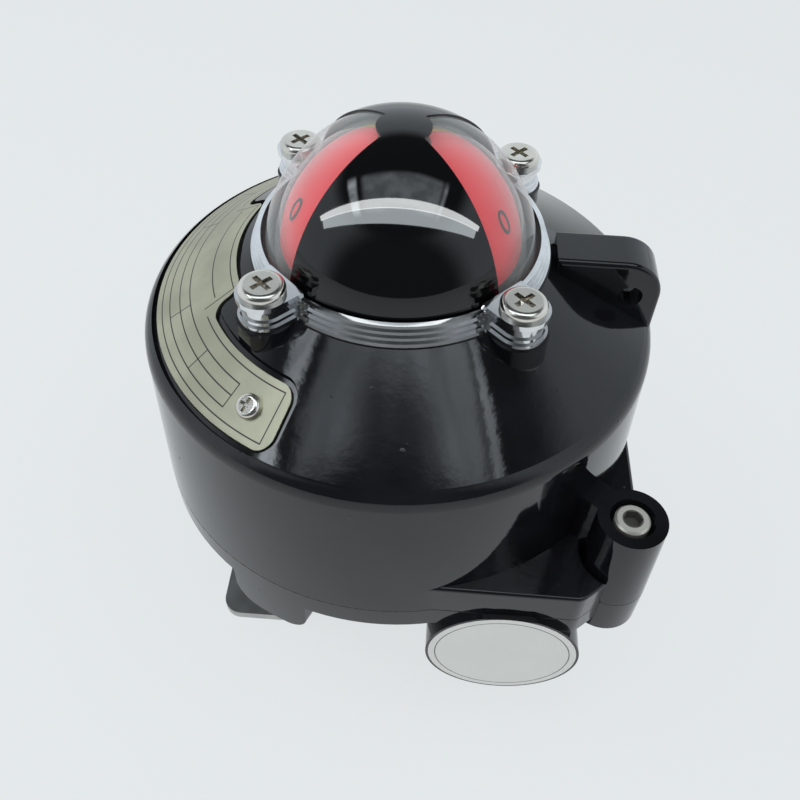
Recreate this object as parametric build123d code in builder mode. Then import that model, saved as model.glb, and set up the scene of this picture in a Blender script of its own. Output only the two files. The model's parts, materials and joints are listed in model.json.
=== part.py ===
from build123d import *
import os
from math import atan2, cos, degrees, hypot, radians, sin, sqrt, tan

os.makedirs("parts", exist_ok=True)

# Valve limit switch box: a cast base and cover, a domed position indicator, a switch
# deck turned by one shaft, and a folded mounting bridge.
# Millimetres, +Z up. The origin is on the shaft axis, on the plane under the feet.
# The front conduit entry faces -Y and the side conduit entry faces +X.

# ---------------------------------------------------------------- driving sizes
# Heights
bracket_height = 30.0
base_height = 41.0
flange_thickness = 7.0
ledge_height = 10.0
wall_height = 44.0
crown_rise = 17.4
floor_thickness = 6.0
crown_thickness = 8.0

# Casting outline
wall_top_radius = 64.9
flange_overhang = 1.6
neck_radius = 36.5
flange_lip = 6.5
bowl_taper = 11.0
shoulder_round = 5.5
bowl_round = 5.0
corner_setback = 1.5
corner_spread = 15.0
corner_round = 4.0
ledge_round = 0.8

# Casting hollows
bowl_wall = 6.0
cover_wall = 5.4
rim_width = 11.5
spigot_clearance = 0.1
spigot_wall = 3.9
spigot_length = 6.0
spigot_foot_gap = 1.0
rim_height = 9.0
seal_section = 1.8

# Corner lug and bolts
lug_overhang = 11.6
lug_azimuth = -40.9
lug_radius = 9.0
lug_draft = 1.5
lug_height = 25.5
lug_groove = 0.6
base_lug_height = 12.5
lug_web_width = 8.0
bolt_radius = 2.5
bolt_clearance = 0.25
thread_gap = 0.05
bolt_head_radius = 4.25
bolt_head_height = 5.0
bolt_hex = 4.0
bolt_recess_radius = 5.45
bolt_recess_depth = 5.1
corner_bolt_length = 30.0
flange_bolt_length = 25.0
flange_bolt_inset = 5.75
flange_bolt_azimuths = (-116.0, 60.0, 150.0)
block_width = 22.5
block_height = 12.0
block_round = 6.0
bolt_seat_depth = 6.0
bolt_boss_radius = 6.5

# Conduit entries
conduit_offset = 33.0
conduit_drop = 19.0
conduit_boss_radius = 20.0
conduit_bore_radius = 12.6
conduit_chamfer = 1.4

# Lifting fin
fin_width = 12.0
fin_hole_radius = 3.0
fin_hole_shift = 2.3
fin_end_radius = 9.6
fin_inset = 1.0
fin_root = 11.0
fin_crest = 2.4
fin_setback = 1.2
fin_edge_round = 1.2

# Indicator dome
dome_radius = 33.4
dome_mask_thickness = 0.5
dome_wall = 2.2
dome_sink = 0.9
dome_flange_width = 1.1
dome_flange_thickness = 1.2
gasket_thickness = 0.8
window_half_angle = 45.0
mask_cap_radius = 6.2
skin_gap = 0.02

# Retaining ring
ring_gap = 0.1
ring_outer_radius = 36.2
ring_height = 3.2
ring_bands = 3
ring_step = 0.5
ear_circle = 40.0
ear_radius = 6.1
ear_height = 7.1
ear_plate = 1.3
ear_band = 1.3
ear_waist = 1.0
pad_radius = 6.6
pad_flare = 3.5
pad_straight = 5.4
pad_boss_radius = 5.5
ring_screw_length = 22.0
screw_head_radius = 5.3
screw_head_height = 2.3

# Nameplate
plate_azimuth = 114.0
plate_step_azimuth = 155.0
plate_inset = 3.7
plate_middle_radius = 47.6
plate_inner_radius = 40.0
plate_corner = 3.6
plate_thickness = 0.8
plate_recess = 1.0
plate_margin = 1.4
plate_screw_circle = 54.7
plate_screw_azimuth = 123.0
plate_screw_head_radius = 3.0
plate_screw_head_height = 1.9
plate_screw_radius = 1.5
plate_screw_length = 4.5

# Mounting bridge
bracket_sheet = 3.0
bracket_leg = 32.0
bracket_foot = 54.0
bracket_half_depth = 36.0
bracket_bend = 4.5
bracket_corner = 6.0
pattern_x = 80.0
pattern_y = 30.0
pattern_hole_radius = 2.75
base_spigot_radius = 15.0
base_spigot_clearance = 0.3
bracket_screw_spacing = 40.0
bracket_screw_length = 12.0
hex_head_width = 8.0
hex_head_height = 3.5
floor_boss_radius = 5.5
floor_boss_height = 7.0
inner_earth_circle = 34.0
inner_earth_azimuth = -95.0
outer_earth_azimuth = 105.0
outer_earth_height = 20.0
outer_earth_inset = 5.5

# Drive shaft and its bearing
shaft_radius = 6.0
running_gap = 0.03
shaft_end_height = 14.5
tongue_width = 4.0
tongue_length = 6.0
collar_radius = 9.0
collar_thickness = 2.5
axial_gap = 0.1
bush_wall = 2.0
bush_boss_wall = 6.0
bush_boss_height = 9.0
washer_thickness = 1.0
washer_radius = 9.0
clip_depth = 0.6
clip_reach = 2.0
ring_groove = 1.6
shaft_top = 95.0
slot_width = 3.0
slot_depth = 5.0
slot_gap = 0.05

# Indicator shaft and its bearing
indicator_radius = 5.0
indicator_bush_wall = 2.0
indicator_boss_radius = 11.0
indicator_boss_drop = 6.0
indicator_collar_radius = 6.6
indicator_rise = 4.0

# Indicator rotor
rotor_gap = 1.3
rotor_wall = 1.2
rotor_floor = 1.6
rotor_lift = 0.8
rotor_hub_radius = 8.0
rotor_hub_height = 6.0
rotor_post_radius = 5.0
rotor_eye_radius = 6.0
rotor_screw_radius = 2.0
rotor_screw_head_radius = 3.6
rotor_screw_head_height = 2.2
rotor_screw_bite = 8.0

# Switch deck
deck_height = 26.0
deck_thickness = 2.0
deck_gap = 5.5
deck_hole_radius = 16.0
deck_cut = 8.0
deck_corner = 3.0
post_radius = 4.5
post_places = ((-30.0, -30.0), (-34.0, 29.0), (38.0, 18.0))
deck_screw_length = 8.0

# Microswitches
switch_length = 27.8
switch_width = 15.9
switch_thickness = 10.3
switch_face_reach = 23.1
switch_hole_spacing = 22.2
switch_hole_rise = 3.0
switch_screw_radius = 1.5
switch_screw_gap = 0.1
spacer_thickness = 4.0
lever_pivot_reach = 21.3
lever_pivot_back = 12.0
lever_pin_radius = 0.8
lever_sheet = 0.8
lever_width = 5.0
lever_barrel_wall = 0.6
lever_bend_reach = 20.6
lever_bend_back = 3.5
plunger_radius = 1.2
plunger_back = 5.0
plunger_length = 6.0
plunger_gap = 0.25
tab_size = 4.8
tab_reach = 6.0
tab_thickness = 0.8
roller_radius = 2.5
roller_width = 3.6
roller_gap = 0.1
follower_gap = 0.3

# Cams
cam_low_radius = 13.0
cam_rise = 1.5
cam_thickness = 6.0
cam_overrun = 16.0
hub_radius = 8.2
spline_depth = 1.0
spline_width = 1.3
spline_count = 12
spline_gap = 0.1
hub_wall_gap = 0.02
turn_angle = 90.0
spring_wire = 1.2

# Terminals
terminal_ways = 6
terminal_pitch = 7.6
terminal_depth = 14.0
terminal_height = 14.0
terminal_inset = 7.5
terminal_step = 5.0
barrier_thickness = 1.2

# ---------------------------------------------------------------- derived places
flange_radius = wall_top_radius + flange_overhang
corner_flat = flange_radius - corner_setback
corner_reach = flange_radius + corner_spread
lug_circle = flange_radius + lug_overhang
socket_radius = flange_radius - rim_width
bowl_top_radius = flange_radius - flange_lip
bowl_bottom_radius = bowl_top_radius - bowl_taper
plate_outer_radius = wall_top_radius - plate_inset
deck_radius = bowl_top_radius - bowl_wall - deck_gap
terminal_back = deck_radius - terminal_inset
parting_z = bracket_height + base_height
flange_z = parting_z - flange_thickness
ledge_z = parting_z + ledge_height
corner_z = parting_z + wall_height
neck_z = corner_z + crown_rise
floor_z = bracket_height + floor_thickness
deck_z = floor_z + deck_height
deck_top = deck_z + deck_thickness
crown_angle = atan2(crown_rise, wall_top_radius - neck_radius)
crown_slope = tan(crown_angle)
dome_z = neck_z - dome_sink
gasket_top = neck_z + gasket_thickness
dome_flange_top = gasket_top + dome_flange_thickness
flange_bolt_circle = flange_radius - flange_bolt_inset
conduit_z = parting_z - conduit_drop


def crown_height(radius):
    # Height of the crown's outer surface at a distance from the axis.
    return neck_z - (radius - neck_radius) * crown_slope


def polar(radius, azimuth):
    return radius * cos(radians(azimuth)), radius * sin(radians(azimuth))


def spoke_plane(azimuth, radius=0.0):
    # Upright plane through an azimuth: local x points outward, local y points up.
    outward = polar(1.0, azimuth)
    place = polar(radius, azimuth)
    return Plane(
        origin=(place[0], place[1], 0),
        x_dir=(outward[0], outward[1], 0),
        z_dir=(outward[1], -outward[0], 0),
    )


def crown_plane(azimuth, radius, depth=0.0):
    # Plane that lies on the crown at a depth below its surface and faces outward.
    lean = sin(crown_angle)
    rise = cos(crown_angle)
    reach = radius - depth * lean
    place = polar(reach, azimuth)
    outward = polar(lean, azimuth)
    return Plane(
        origin=(place[0], place[1], crown_height(radius) - depth * rise),
        x_dir=(-sin(radians(azimuth)), cos(radians(azimuth)), 0),
        z_dir=(outward[0], outward[1], rise),
    )


def corner_sketch(height):
    # Square front corner shared by flange and ledge, cut off by a circle about the axis.
    with BuildSketch(Plane.XY.offset(height)) as corner:
        with Locations((corner_flat / 2, -corner_flat / 2)):
            Rectangle(corner_flat, corner_flat)
        Circle(corner_reach, mode=Mode.INTERSECT)
        cut_corners = corner.vertices().filter_by(lambda point: hypot(point.X, point.Y) > corner_reach - 1)
        fillet(cut_corners, corner_round)
    return corner.sketch


def pan_screw(head_radius, head_height, shank_radius, shank_length, cross):
    # Cross-recessed pan-head screw, seated on Z = 0 and pointing down.
    with BuildPart() as screw:
        with BuildSketch():
            Circle(head_radius)
        extrude(amount=head_height)
        fillet(screw.faces().sort_by(Axis.Z)[-1].edges(), head_height * 0.6)
        with BuildSketch():
            Circle(shank_radius)
        extrude(amount=-shank_length)
        with BuildSketch(Plane.XY.offset(head_height)):
            Rectangle(cross, cross * 0.24)
            Rectangle(cross * 0.24, cross)
        extrude(amount=-head_height * 0.6, taper=8, mode=Mode.SUBTRACT)
    return screw.part


def cap_screw(shank_length):
    # Hexagon-socket cap screw, seated on Z = 0 and pointing down.
    with BuildPart() as screw:
        with BuildSketch():
            Circle(bolt_head_radius)
        extrude(amount=bolt_head_height)
        chamfer(screw.faces().sort_by(Axis.Z)[-1].edges(), 0.5)
        with BuildSketch():
            Circle(bolt_radius - thread_gap)
        extrude(amount=-shank_length)
        with BuildSketch(Plane.XY.offset(bolt_head_height)):
            RegularPolygon(bolt_hex / 2, 6, major_radius=False)
        extrude(amount=-bolt_head_height / 2, mode=Mode.SUBTRACT)
    return screw.part


def seal_ring(inner_radius, height):
    # Round-section sealing ring lying on its groove floor.
    with BuildPart() as ring:
        with BuildSketch(Plane.XZ):
            with Locations((inner_radius + seal_section / 2, height)):
                Circle(seal_section / 2)
        revolve(axis=Axis.Z)
    return ring.part


# ---------------------------------------------------------------- cover
lug_top = parting_z + lug_height
bolt_seat_z = lug_top - bolt_recess_depth
wall_draft = (flange_radius - wall_top_radius) / wall_height
hollow_radius = wall_top_radius - cover_wall
spigot_radius = socket_radius - spigot_clearance
spigot_bore = spigot_radius - spigot_wall
spigot_z = parting_z - spigot_length
rim_z = parting_z + rim_height
cover_seal_floor = socket_radius - seal_section
seal_z = parting_z - spigot_length / 2
fin_hole_z = neck_z + fin_crest - fin_end_radius
lug_place = polar(lug_circle, lug_azimuth)
fin_outer = wall_top_radius - fin_inset
fin_reach = fin_outer - fin_end_radius
fin_hole_reach = fin_reach + fin_hole_shift
bush_outer = indicator_radius + running_gap + indicator_bush_wall
inner_crown_z = neck_z - crown_thickness
boss_bottom_z = inner_crown_z - indicator_boss_drop

with BuildPart() as ledge:
    add(corner_sketch(parting_z))
    extrude(amount=ledge_height)
    with BuildSketch(Plane.XY.offset(parting_z)):
        with Locations(lug_place):
            Circle(lug_radius + lug_groove)
    extrude(amount=ledge_height, mode=Mode.SUBTRACT)
    ledge_rim = ledge.faces().sort_by(Axis.Z)[-1].edges()
    outer_rim = ledge_rim.filter_by(lambda edge: hypot((edge @ 0.5).X, (edge @ 0.5).Y) > 0.8 * flange_radius)
    fillet(outer_rim, ledge_round)

with BuildPart() as fin:
    with BuildSketch(Plane.XZ):
        with BuildLine():
            crest_z = neck_z + fin_crest
            crest = Polyline(
                (neck_radius - 4, inner_crown_z + 2),
                (neck_radius + fin_setback, neck_z - 3),
                (neck_radius + fin_setback, crest_z),
                (fin_reach, crest_z),
            )
            tip = CenterArc((fin_reach, crest_z - fin_end_radius), fin_end_radius, 90, -90)
            Polyline(
                tip @ 1,
                (fin_outer, corner_z + 1),
                (wall_top_radius - 0.4, corner_z - fin_root),
                (wall_top_radius - cover_wall / 2, corner_z - fin_root),
                crest @ 0,
            )
        make_face()
    extrude(amount=fin_width / 2, both=True)
    fin_sides = fin.faces().filter_by(Axis.Y)
    fin_rim = fin_sides.edges().filter_by(lambda edge: (edge @ 0.5).Z > crown_height(abs((edge @ 0.5).X)) + 0.2)
    fillet(fin_rim, fin_edge_round)

with BuildPart() as ear_pad:
    with BuildSketch(Plane.XZ):
        with BuildLine():
            flare_z = neck_z - pad_straight
            Line((0, neck_z), (pad_radius, neck_z))
            Line((pad_radius, neck_z), (pad_radius, flare_z))
            RadiusArc((pad_radius, flare_z), (pad_radius + pad_flare, flare_z - pad_flare), -pad_flare)
            Polyline(
                (pad_radius + pad_flare, flare_z - pad_flare),
                (pad_radius + pad_flare, flare_z - pad_flare - 2),
                (pad_boss_radius, inner_crown_z - 6),
                (pad_boss_radius, neck_z - ring_screw_length + ear_height - 2),
                (0, neck_z - ring_screw_length + ear_height - 2),
                (0, neck_z),
            )
        make_face()
    revolve(axis=Axis.Z)


def crown_layer(outer_depth, inner_depth):
    # Conical layer of the crown between two depths under its surface.
    lean = sin(crown_angle)
    rise = cos(crown_angle)
    low = wall_top_radius + 4
    high = neck_radius - 4
    with BuildPart() as layer:
        with BuildSketch(Plane.XZ):
            with BuildLine():
                Polyline(
                    (low - outer_depth * lean, crown_height(low) - outer_depth * rise),
                    (high - outer_depth * lean, crown_height(high) - outer_depth * rise),
                    (high - inner_depth * lean, crown_height(high) - inner_depth * rise),
                    (low - inner_depth * lean, crown_height(low) - inner_depth * rise),
                    close=True,
                )
            make_face()
        revolve(axis=Axis.Z)
    return layer.part


def plate_sketch(margin):
    # Plan of the nameplate: a broad band and, between two ear pads, a step inwards.
    with BuildSketch(Plane.XY.offset(parting_z)) as plan:
        for start, inner in ((plate_azimuth, plate_middle_radius), (plate_step_azimuth, plate_inner_radius)):
            with BuildLine():
                sweep_angle = 2 * (180 - start)
                outside = CenterArc((0, 0), plate_outer_radius, start, sweep_angle)
                inside = CenterArc((0, 0), inner, start, sweep_angle)
                Line(outside @ 0, inside @ 0)
                Line(outside @ 1, inside @ 1)
            make_face()
        fillet(plan.vertices(), plate_corner)
        if margin > 0:
            offset(amount=margin)
    return plan.sketch


with BuildPart() as plate_pocket:
    add(crown_layer(-plate_recess * 4, plate_recess))
    add(plate_sketch(plate_margin))
    extrude(amount=neck_z, mode=Mode.INTERSECT)

with BuildPart() as cover:
    with BuildSketch(Plane.XZ) as wall_profile:
        with BuildLine():
            Polyline(
                (0, parting_z),
                (flange_radius, parting_z),
                (wall_top_radius, corner_z),
                (neck_radius, neck_z),
                (0, neck_z),
                close=True,
            )
        make_face()
        fillet(wall_profile.vertices().sort_by_distance((wall_top_radius, corner_z))[0], shoulder_round)
    revolve(axis=Axis.Z)
    add(ledge.part)
    add(fin.part)
    with PolarLocations(ear_circle, 4, start_angle=45):
        add(ear_pad.part)
    # Corner lug and the web that ties it to the wall
    with BuildSketch(Plane.XY.offset(parting_z)):
        with Locations(lug_place):
            Circle(lug_radius)
    extrude(amount=lug_height, taper=lug_draft)
    with BuildSketch(Plane.XY.offset(parting_z)):
        web_start = hollow_radius + cover_wall / 2
        with PolarLocations((lug_circle + web_start) / 2, 1, start_angle=lug_azimuth):
            Rectangle(lug_circle - web_start, lug_web_width)
    extrude(amount=lug_height, taper=lug_draft / 2)
    # Hollow
    with BuildSketch(Plane.XZ):
        with BuildLine():
            Polyline(
                (0, parting_z),
                (spigot_bore, parting_z),
                (spigot_bore, rim_z),
                (hollow_radius, rim_z + hollow_radius - spigot_bore),
                (hollow_radius, crown_height(hollow_radius) - crown_thickness),
                (neck_radius, inner_crown_z),
                (0, inner_crown_z),
                close=True,
            )
        make_face()
    revolve(axis=Axis.Z, mode=Mode.SUBTRACT)
    # Spigot with its seal groove
    with BuildSketch(Plane.XY.offset(spigot_z)):
        Circle(spigot_radius)
        Circle(spigot_bore, mode=Mode.SUBTRACT)
    extrude(amount=spigot_length)
    with BuildSketch(Plane.XY.offset(seal_z - seal_section / 2 - thread_gap)):
        Circle(socket_radius)
        Circle(cover_seal_floor, mode=Mode.SUBTRACT)
    extrude(amount=seal_section + 2 * thread_gap, mode=Mode.SUBTRACT)
    # Bosses inside for the indicator bush, the ring screws and the flange bolts
    with BuildSketch(Plane.XY.offset(boss_bottom_z)):
        Circle(indicator_boss_radius)
    extrude(amount=inner_crown_z - boss_bottom_z)
    for azimuth in flange_bolt_azimuths:
        with BuildSketch(Plane.XY.offset(rim_z)):
            with PolarLocations(flange_bolt_circle, 1, start_angle=azimuth):
                Circle(bolt_boss_radius)
            Circle(wall_top_radius - cover_wall / 2, mode=Mode.INTERSECT)
        extrude(amount=rim_height)
    with PolarLocations(ear_circle, 4, start_angle=45):
        add(ear_pad.part)
    # Holes
    with BuildSketch(Plane.XY.offset(neck_z)):
        Circle(bush_outer)
    extrude(amount=-crown_thickness - indicator_boss_drop, mode=Mode.SUBTRACT)
    with BuildSketch(Plane.XY.offset(neck_z)):
        with PolarLocations(ear_circle, 4, start_angle=45):
            Circle(bolt_radius)
    extrude(amount=-ring_screw_length + ear_height - 1, mode=Mode.SUBTRACT)
    for azimuth in flange_bolt_azimuths:
        with BuildSketch(Plane.XY.offset(parting_z)):
            with PolarLocations(flange_bolt_circle, 1, start_angle=azimuth):
                Circle(bolt_radius)
        extrude(amount=rim_height + ledge_height / 2, mode=Mode.SUBTRACT)
    with BuildSketch(Plane.XY.offset(lug_top)):
        with Locations(lug_place):
            Circle(bolt_recess_radius)
    extrude(amount=-bolt_recess_depth, mode=Mode.SUBTRACT)
    with BuildSketch(Plane.XY.offset(parting_z)):
        with Locations(lug_place):
            Circle(bolt_radius + bolt_clearance)
    extrude(amount=lug_height, mode=Mode.SUBTRACT)
    with BuildSketch(Plane.XZ):
        with Locations((fin_hole_reach, fin_hole_z)):
            Circle(fin_hole_radius)
    extrude(amount=fin_width, both=True, mode=Mode.SUBTRACT)
    add(plate_pocket.part, mode=Mode.SUBTRACT)
    for azimuth in (plate_screw_azimuth, -plate_screw_azimuth):
        with BuildSketch(crown_plane(azimuth, plate_screw_circle)):
            Circle(plate_screw_radius)
        extrude(amount=-plate_recess - plate_screw_length, mode=Mode.SUBTRACT)
cover.part.label = "cover"
export_step(cover.part, "parts/cover.step")

with BuildPart() as cover_oring:
    add(seal_ring(cover_seal_floor, seal_z))
cover_oring.part.label = "cover_oring"
export_step(cover_oring.part, "parts/cover_oring.step")

# ---------------------------------------------------------------- base
base_lug_z = parting_z - base_lug_height
bush_radius = shaft_radius + running_gap + bush_wall
bush_top = floor_z + bush_boss_height
bush_bottom = bracket_height - bracket_sheet + 0.5
block_z = flange_z - block_height
bolt_head_z = block_z + bolt_seat_depth
earth_z = floor_z + floor_boss_height
earth_place = polar(inner_earth_circle, inner_earth_azimuth)
outer_earth_z = bracket_height + outer_earth_height
outer_earth_reach = flange_radius - outer_earth_inset
conduit_planes = (
    Plane(origin=(conduit_offset, -flange_radius, conduit_z), x_dir=(1, 0, 0), z_dir=(0, -1, 0)),
    Plane(origin=(flange_radius, -conduit_offset, conduit_z), x_dir=(0, 1, 0), z_dir=(1, 0, 0)),
)


def radial_plane(azimuth, radius, height):
    # Upright plane that faces outward: local x runs round the axis, local y points up.
    place = polar(radius, azimuth)
    outward = polar(1.0, azimuth)
    return Plane(
        origin=(place[0], place[1], height),
        x_dir=(-outward[1], outward[0], 0),
        z_dir=(outward[0], outward[1], 0),
    )


with BuildPart() as bolt_block:
    # Flange block with rounded lower corners, made on the +X spoke.
    with BuildSketch(radial_plane(0, socket_radius - bowl_wall, block_z + block_height / 2)) as block_face:
        Rectangle(block_width, block_height)
        fillet(block_face.vertices().group_by(Axis.Y)[0], block_round)
    extrude(amount=flange_radius)
    with BuildSketch(Plane.XY.offset(block_z)):
        Circle(flange_radius)
    extrude(amount=block_height, mode=Mode.INTERSECT)

with BuildPart() as base:
    with BuildSketch(Plane.XZ) as bowl_profile:
        with BuildLine():
            Polyline(
                (0, bracket_height),
                (bowl_bottom_radius, bracket_height),
                (bowl_top_radius, flange_z),
                (flange_radius, flange_z),
                (flange_radius, parting_z),
                (0, parting_z),
                close=True,
            )
        make_face()
        fillet(bowl_profile.vertices().sort_by_distance((bowl_bottom_radius, bracket_height))[0], bowl_round)
    revolve(axis=Axis.Z)
    add(corner_sketch(flange_z))
    extrude(amount=flange_thickness)
    with BuildSketch(Plane.XY.offset(base_lug_z)):
        with Locations(lug_place):
            Circle(lug_radius)
        base_web_start = bowl_top_radius - bowl_wall / 2
        with PolarLocations((lug_circle + base_web_start) / 2, 1, start_angle=lug_azimuth):
            Rectangle(lug_circle - base_web_start, lug_web_width)
    extrude(amount=base_lug_height)
    for conduit_plane in conduit_planes:
        with BuildSketch(conduit_plane):
            Circle(conduit_boss_radius)
        extrude(amount=conduit_boss_radius - flange_radius)
    for azimuth in flange_bolt_azimuths:
        with PolarLocations(0, 1, start_angle=azimuth):
            add(bolt_block.part)
    with BuildSketch(radial_plane(outer_earth_azimuth, outer_earth_reach, outer_earth_z)):
        Circle(bolt_boss_radius)
    extrude(amount=bowl_bottom_radius - outer_earth_reach)
    split(bisect_by=Plane.XY.offset(parting_z), keep=Keep.BOTTOM)
    with BuildSketch(Plane.XY.offset(bracket_height)):
        Circle(base_spigot_radius)
    extrude(amount=-bracket_sheet)
    # Hollow
    with BuildSketch(Plane.XZ):
        with BuildLine():
            Polyline(
                (0, floor_z),
                (bowl_bottom_radius - bowl_wall + 1.5, floor_z),
                (bowl_top_radius - bowl_wall, flange_z),
                (socket_radius, flange_z),
                (socket_radius, parting_z),
                (0, parting_z),
                close=True,
            )
        make_face()
    revolve(axis=Axis.Z, mode=Mode.SUBTRACT)
    # Bosses on the floor
    with BuildSketch(Plane.XY.offset(floor_z)):
        Circle(bush_radius + bush_boss_wall)
    extrude(amount=bush_boss_height)
    with BuildSketch(Plane.XY.offset(floor_z)):
        with Locations(*post_places):
            Circle(post_radius)
    extrude(amount=deck_height)
    with BuildSketch(Plane.XY.offset(floor_z)):
        with GridLocations(bracket_screw_spacing, bracket_screw_spacing, 2, 2):
            Circle(floor_boss_radius)
        with Locations(earth_place):
            Circle(floor_boss_radius)
    extrude(amount=floor_boss_height)
    # Holes
    with BuildSketch(Plane.XY.offset(bush_top)):
        Circle(bush_radius)
    extrude(amount=bush_bottom - bush_top, mode=Mode.SUBTRACT)
    with BuildSketch(Plane.XY.offset(bush_bottom)):
        Circle(shaft_radius + running_gap * 3)
    extrude(amount=-bracket_sheet, mode=Mode.SUBTRACT)
    with BuildSketch(Plane.XY.offset(bracket_height)):
        with GridLocations(bracket_screw_spacing, bracket_screw_spacing, 2, 2):
            Circle(bolt_radius)
    extrude(amount=bracket_screw_length - bracket_sheet + 2, mode=Mode.SUBTRACT)
    with BuildSketch(Plane.XY.offset(deck_z)):
        with Locations(*post_places):
            Circle(plate_screw_radius)
    extrude(amount=-deck_screw_length, mode=Mode.SUBTRACT)
    with BuildSketch(Plane.XY.offset(earth_z)):
        with Locations(earth_place):
            Circle(bolt_radius)
    extrude(amount=-deck_screw_length - 1, mode=Mode.SUBTRACT)
    with BuildSketch(radial_plane(outer_earth_azimuth, outer_earth_reach, outer_earth_z)):
        Circle(bolt_radius)
    extrude(amount=-deck_screw_length - 1, mode=Mode.SUBTRACT)
    for conduit_plane in conduit_planes:
        with BuildSketch(conduit_plane):
            Circle(conduit_bore_radius)
        extrude(amount=-flange_radius + conduit_offset, mode=Mode.SUBTRACT)
        with BuildSketch(conduit_plane):
            Circle(conduit_bore_radius + conduit_chamfer)
        extrude(amount=-conduit_chamfer, taper=45, mode=Mode.SUBTRACT)
    for azimuth in flange_bolt_azimuths:
        with BuildSketch(Plane.XY.offset(block_z)):
            with PolarLocations(flange_bolt_circle, 1, start_angle=azimuth):
                Circle(bolt_head_radius + 0.5)
        extrude(amount=bolt_seat_depth, mode=Mode.SUBTRACT)
        with BuildSketch(Plane.XY.offset(block_z)):
            with PolarLocations(flange_bolt_circle, 1, start_angle=azimuth):
                Circle(bolt_radius + bolt_clearance)
        extrude(amount=parting_z - block_z, mode=Mode.SUBTRACT)
    with BuildSketch(Plane.XY.offset(parting_z)):
        with Locations(lug_place):
            Circle(bolt_radius)
    extrude(amount=bolt_seat_z - corner_bolt_length - parting_z - 1, mode=Mode.SUBTRACT)
base.part.label = "base"
export_step(base.part, "parts/base.step")

# ---------------------------------------------------------------- casting fasteners
with BuildPart() as corner_bolt:
    with Locations((lug_place[0], lug_place[1], bolt_seat_z)):
        add(cap_screw(corner_bolt_length))
corner_bolt.part.label = "corner_bolt"
export_step(corner_bolt.part, "parts/corner_bolt.step")

with BuildPart() as cover_bolts:
    for azimuth in flange_bolt_azimuths:
        place = polar(flange_bolt_circle, azimuth)
        with Locations(Location((place[0], place[1], bolt_head_z), (180, 0, 0))):
            add(cap_screw(flange_bolt_length))
cover_bolts.part.label = "cover_bolts"
export_step(cover_bolts.part, "parts/cover_bolts.step")

with BuildPart() as internal_earth_screw:
    with Locations((earth_place[0], earth_place[1], earth_z)):
        add(pan_screw(screw_head_radius, screw_head_height, bolt_radius - thread_gap, deck_screw_length, 5.0))
internal_earth_screw.part.label = "internal_earth_screw"
export_step(internal_earth_screw.part, "parts/internal_earth_screw.step")

with BuildPart() as external_earth_screw:
    with Locations(radial_plane(outer_earth_azimuth, outer_earth_reach, outer_earth_z).location):
        add(pan_screw(screw_head_radius, screw_head_height, bolt_radius - thread_gap, deck_screw_length, 5.0))
external_earth_screw.part.label = "external_earth_screw"
export_step(external_earth_screw.part, "parts/external_earth_screw.step")

# ---------------------------------------------------------------- mounting bridge
with BuildPart() as bracket:
    middle = bracket_sheet / 2
    with BuildSketch(Plane.XZ):
        with BuildLine() as fold:
            FilletPolyline(
                (-bracket_foot, middle),
                (middle - bracket_leg, middle),
                (middle - bracket_leg, bracket_height - middle),
                (bracket_leg - middle, bracket_height - middle),
                (bracket_leg - middle, middle),
                (bracket_foot, middle),
                radius=bracket_bend,
            )
        trace(fold.line, line_width=bracket_sheet)
    extrude(amount=bracket_half_depth, both=True)
    foot_corners = bracket.edges().filter_by(Axis.Z).filter_by(lambda edge: abs((edge @ 0.5).X) > bracket_foot - 1)
    fillet(foot_corners, bracket_corner)
    with BuildSketch(Plane.XY):
        with GridLocations(pattern_x, pattern_y, 2, 2):
            Circle(pattern_hole_radius)
    extrude(amount=bracket_sheet, mode=Mode.SUBTRACT)
    with BuildSketch(Plane.XY.offset(bracket_height)):
        Circle(base_spigot_radius + base_spigot_clearance)
        with GridLocations(bracket_screw_spacing, bracket_screw_spacing, 2, 2):
            Circle(bolt_radius + bolt_clearance)
    extrude(amount=-bracket_sheet, mode=Mode.SUBTRACT)
bracket.part.label = "bracket"
export_step(bracket.part, "parts/bracket.step")

with BuildPart() as hex_screw:
    with BuildSketch():
        RegularPolygon(hex_head_width / 2, 6, major_radius=False)
    extrude(amount=hex_head_height)
    with BuildSketch():
        Circle(bolt_radius - thread_gap)
    extrude(amount=-bracket_screw_length)

with BuildPart() as bracket_screws:
    with GridLocations(bracket_screw_spacing, bracket_screw_spacing, 2, 2):
        with Locations(Location((0, 0, bracket_height - bracket_sheet), (180, 0, 0))):
            add(hex_screw.part)
bracket_screws.part.label = "bracket_screws"
export_step(bracket_screws.part, "parts/bracket_screws.step")

# ---------------------------------------------------------------- indicator dome
clear_radius = dome_radius - dome_mask_thickness
clear_inner = clear_radius - dome_wall
mask_inner = clear_radius + skin_gap
ring_inner = dome_radius + ring_gap
dome_flange_radius = ring_inner + dome_flange_width


def dome_reach(radius, height):
    # Distance from the axis at which a sphere about the dome's centre has a height.
    return sqrt(radius**2 - (height - dome_z) ** 2)


with BuildPart() as dome_gasket:
    with BuildSketch(Plane.XY.offset(neck_z)):
        Circle(dome_flange_radius)
        Circle(clear_inner, mode=Mode.SUBTRACT)
    extrude(amount=gasket_thickness)
dome_gasket.part.label = "dome_gasket"
export_step(dome_gasket.part, "parts/dome_gasket.step")

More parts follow.
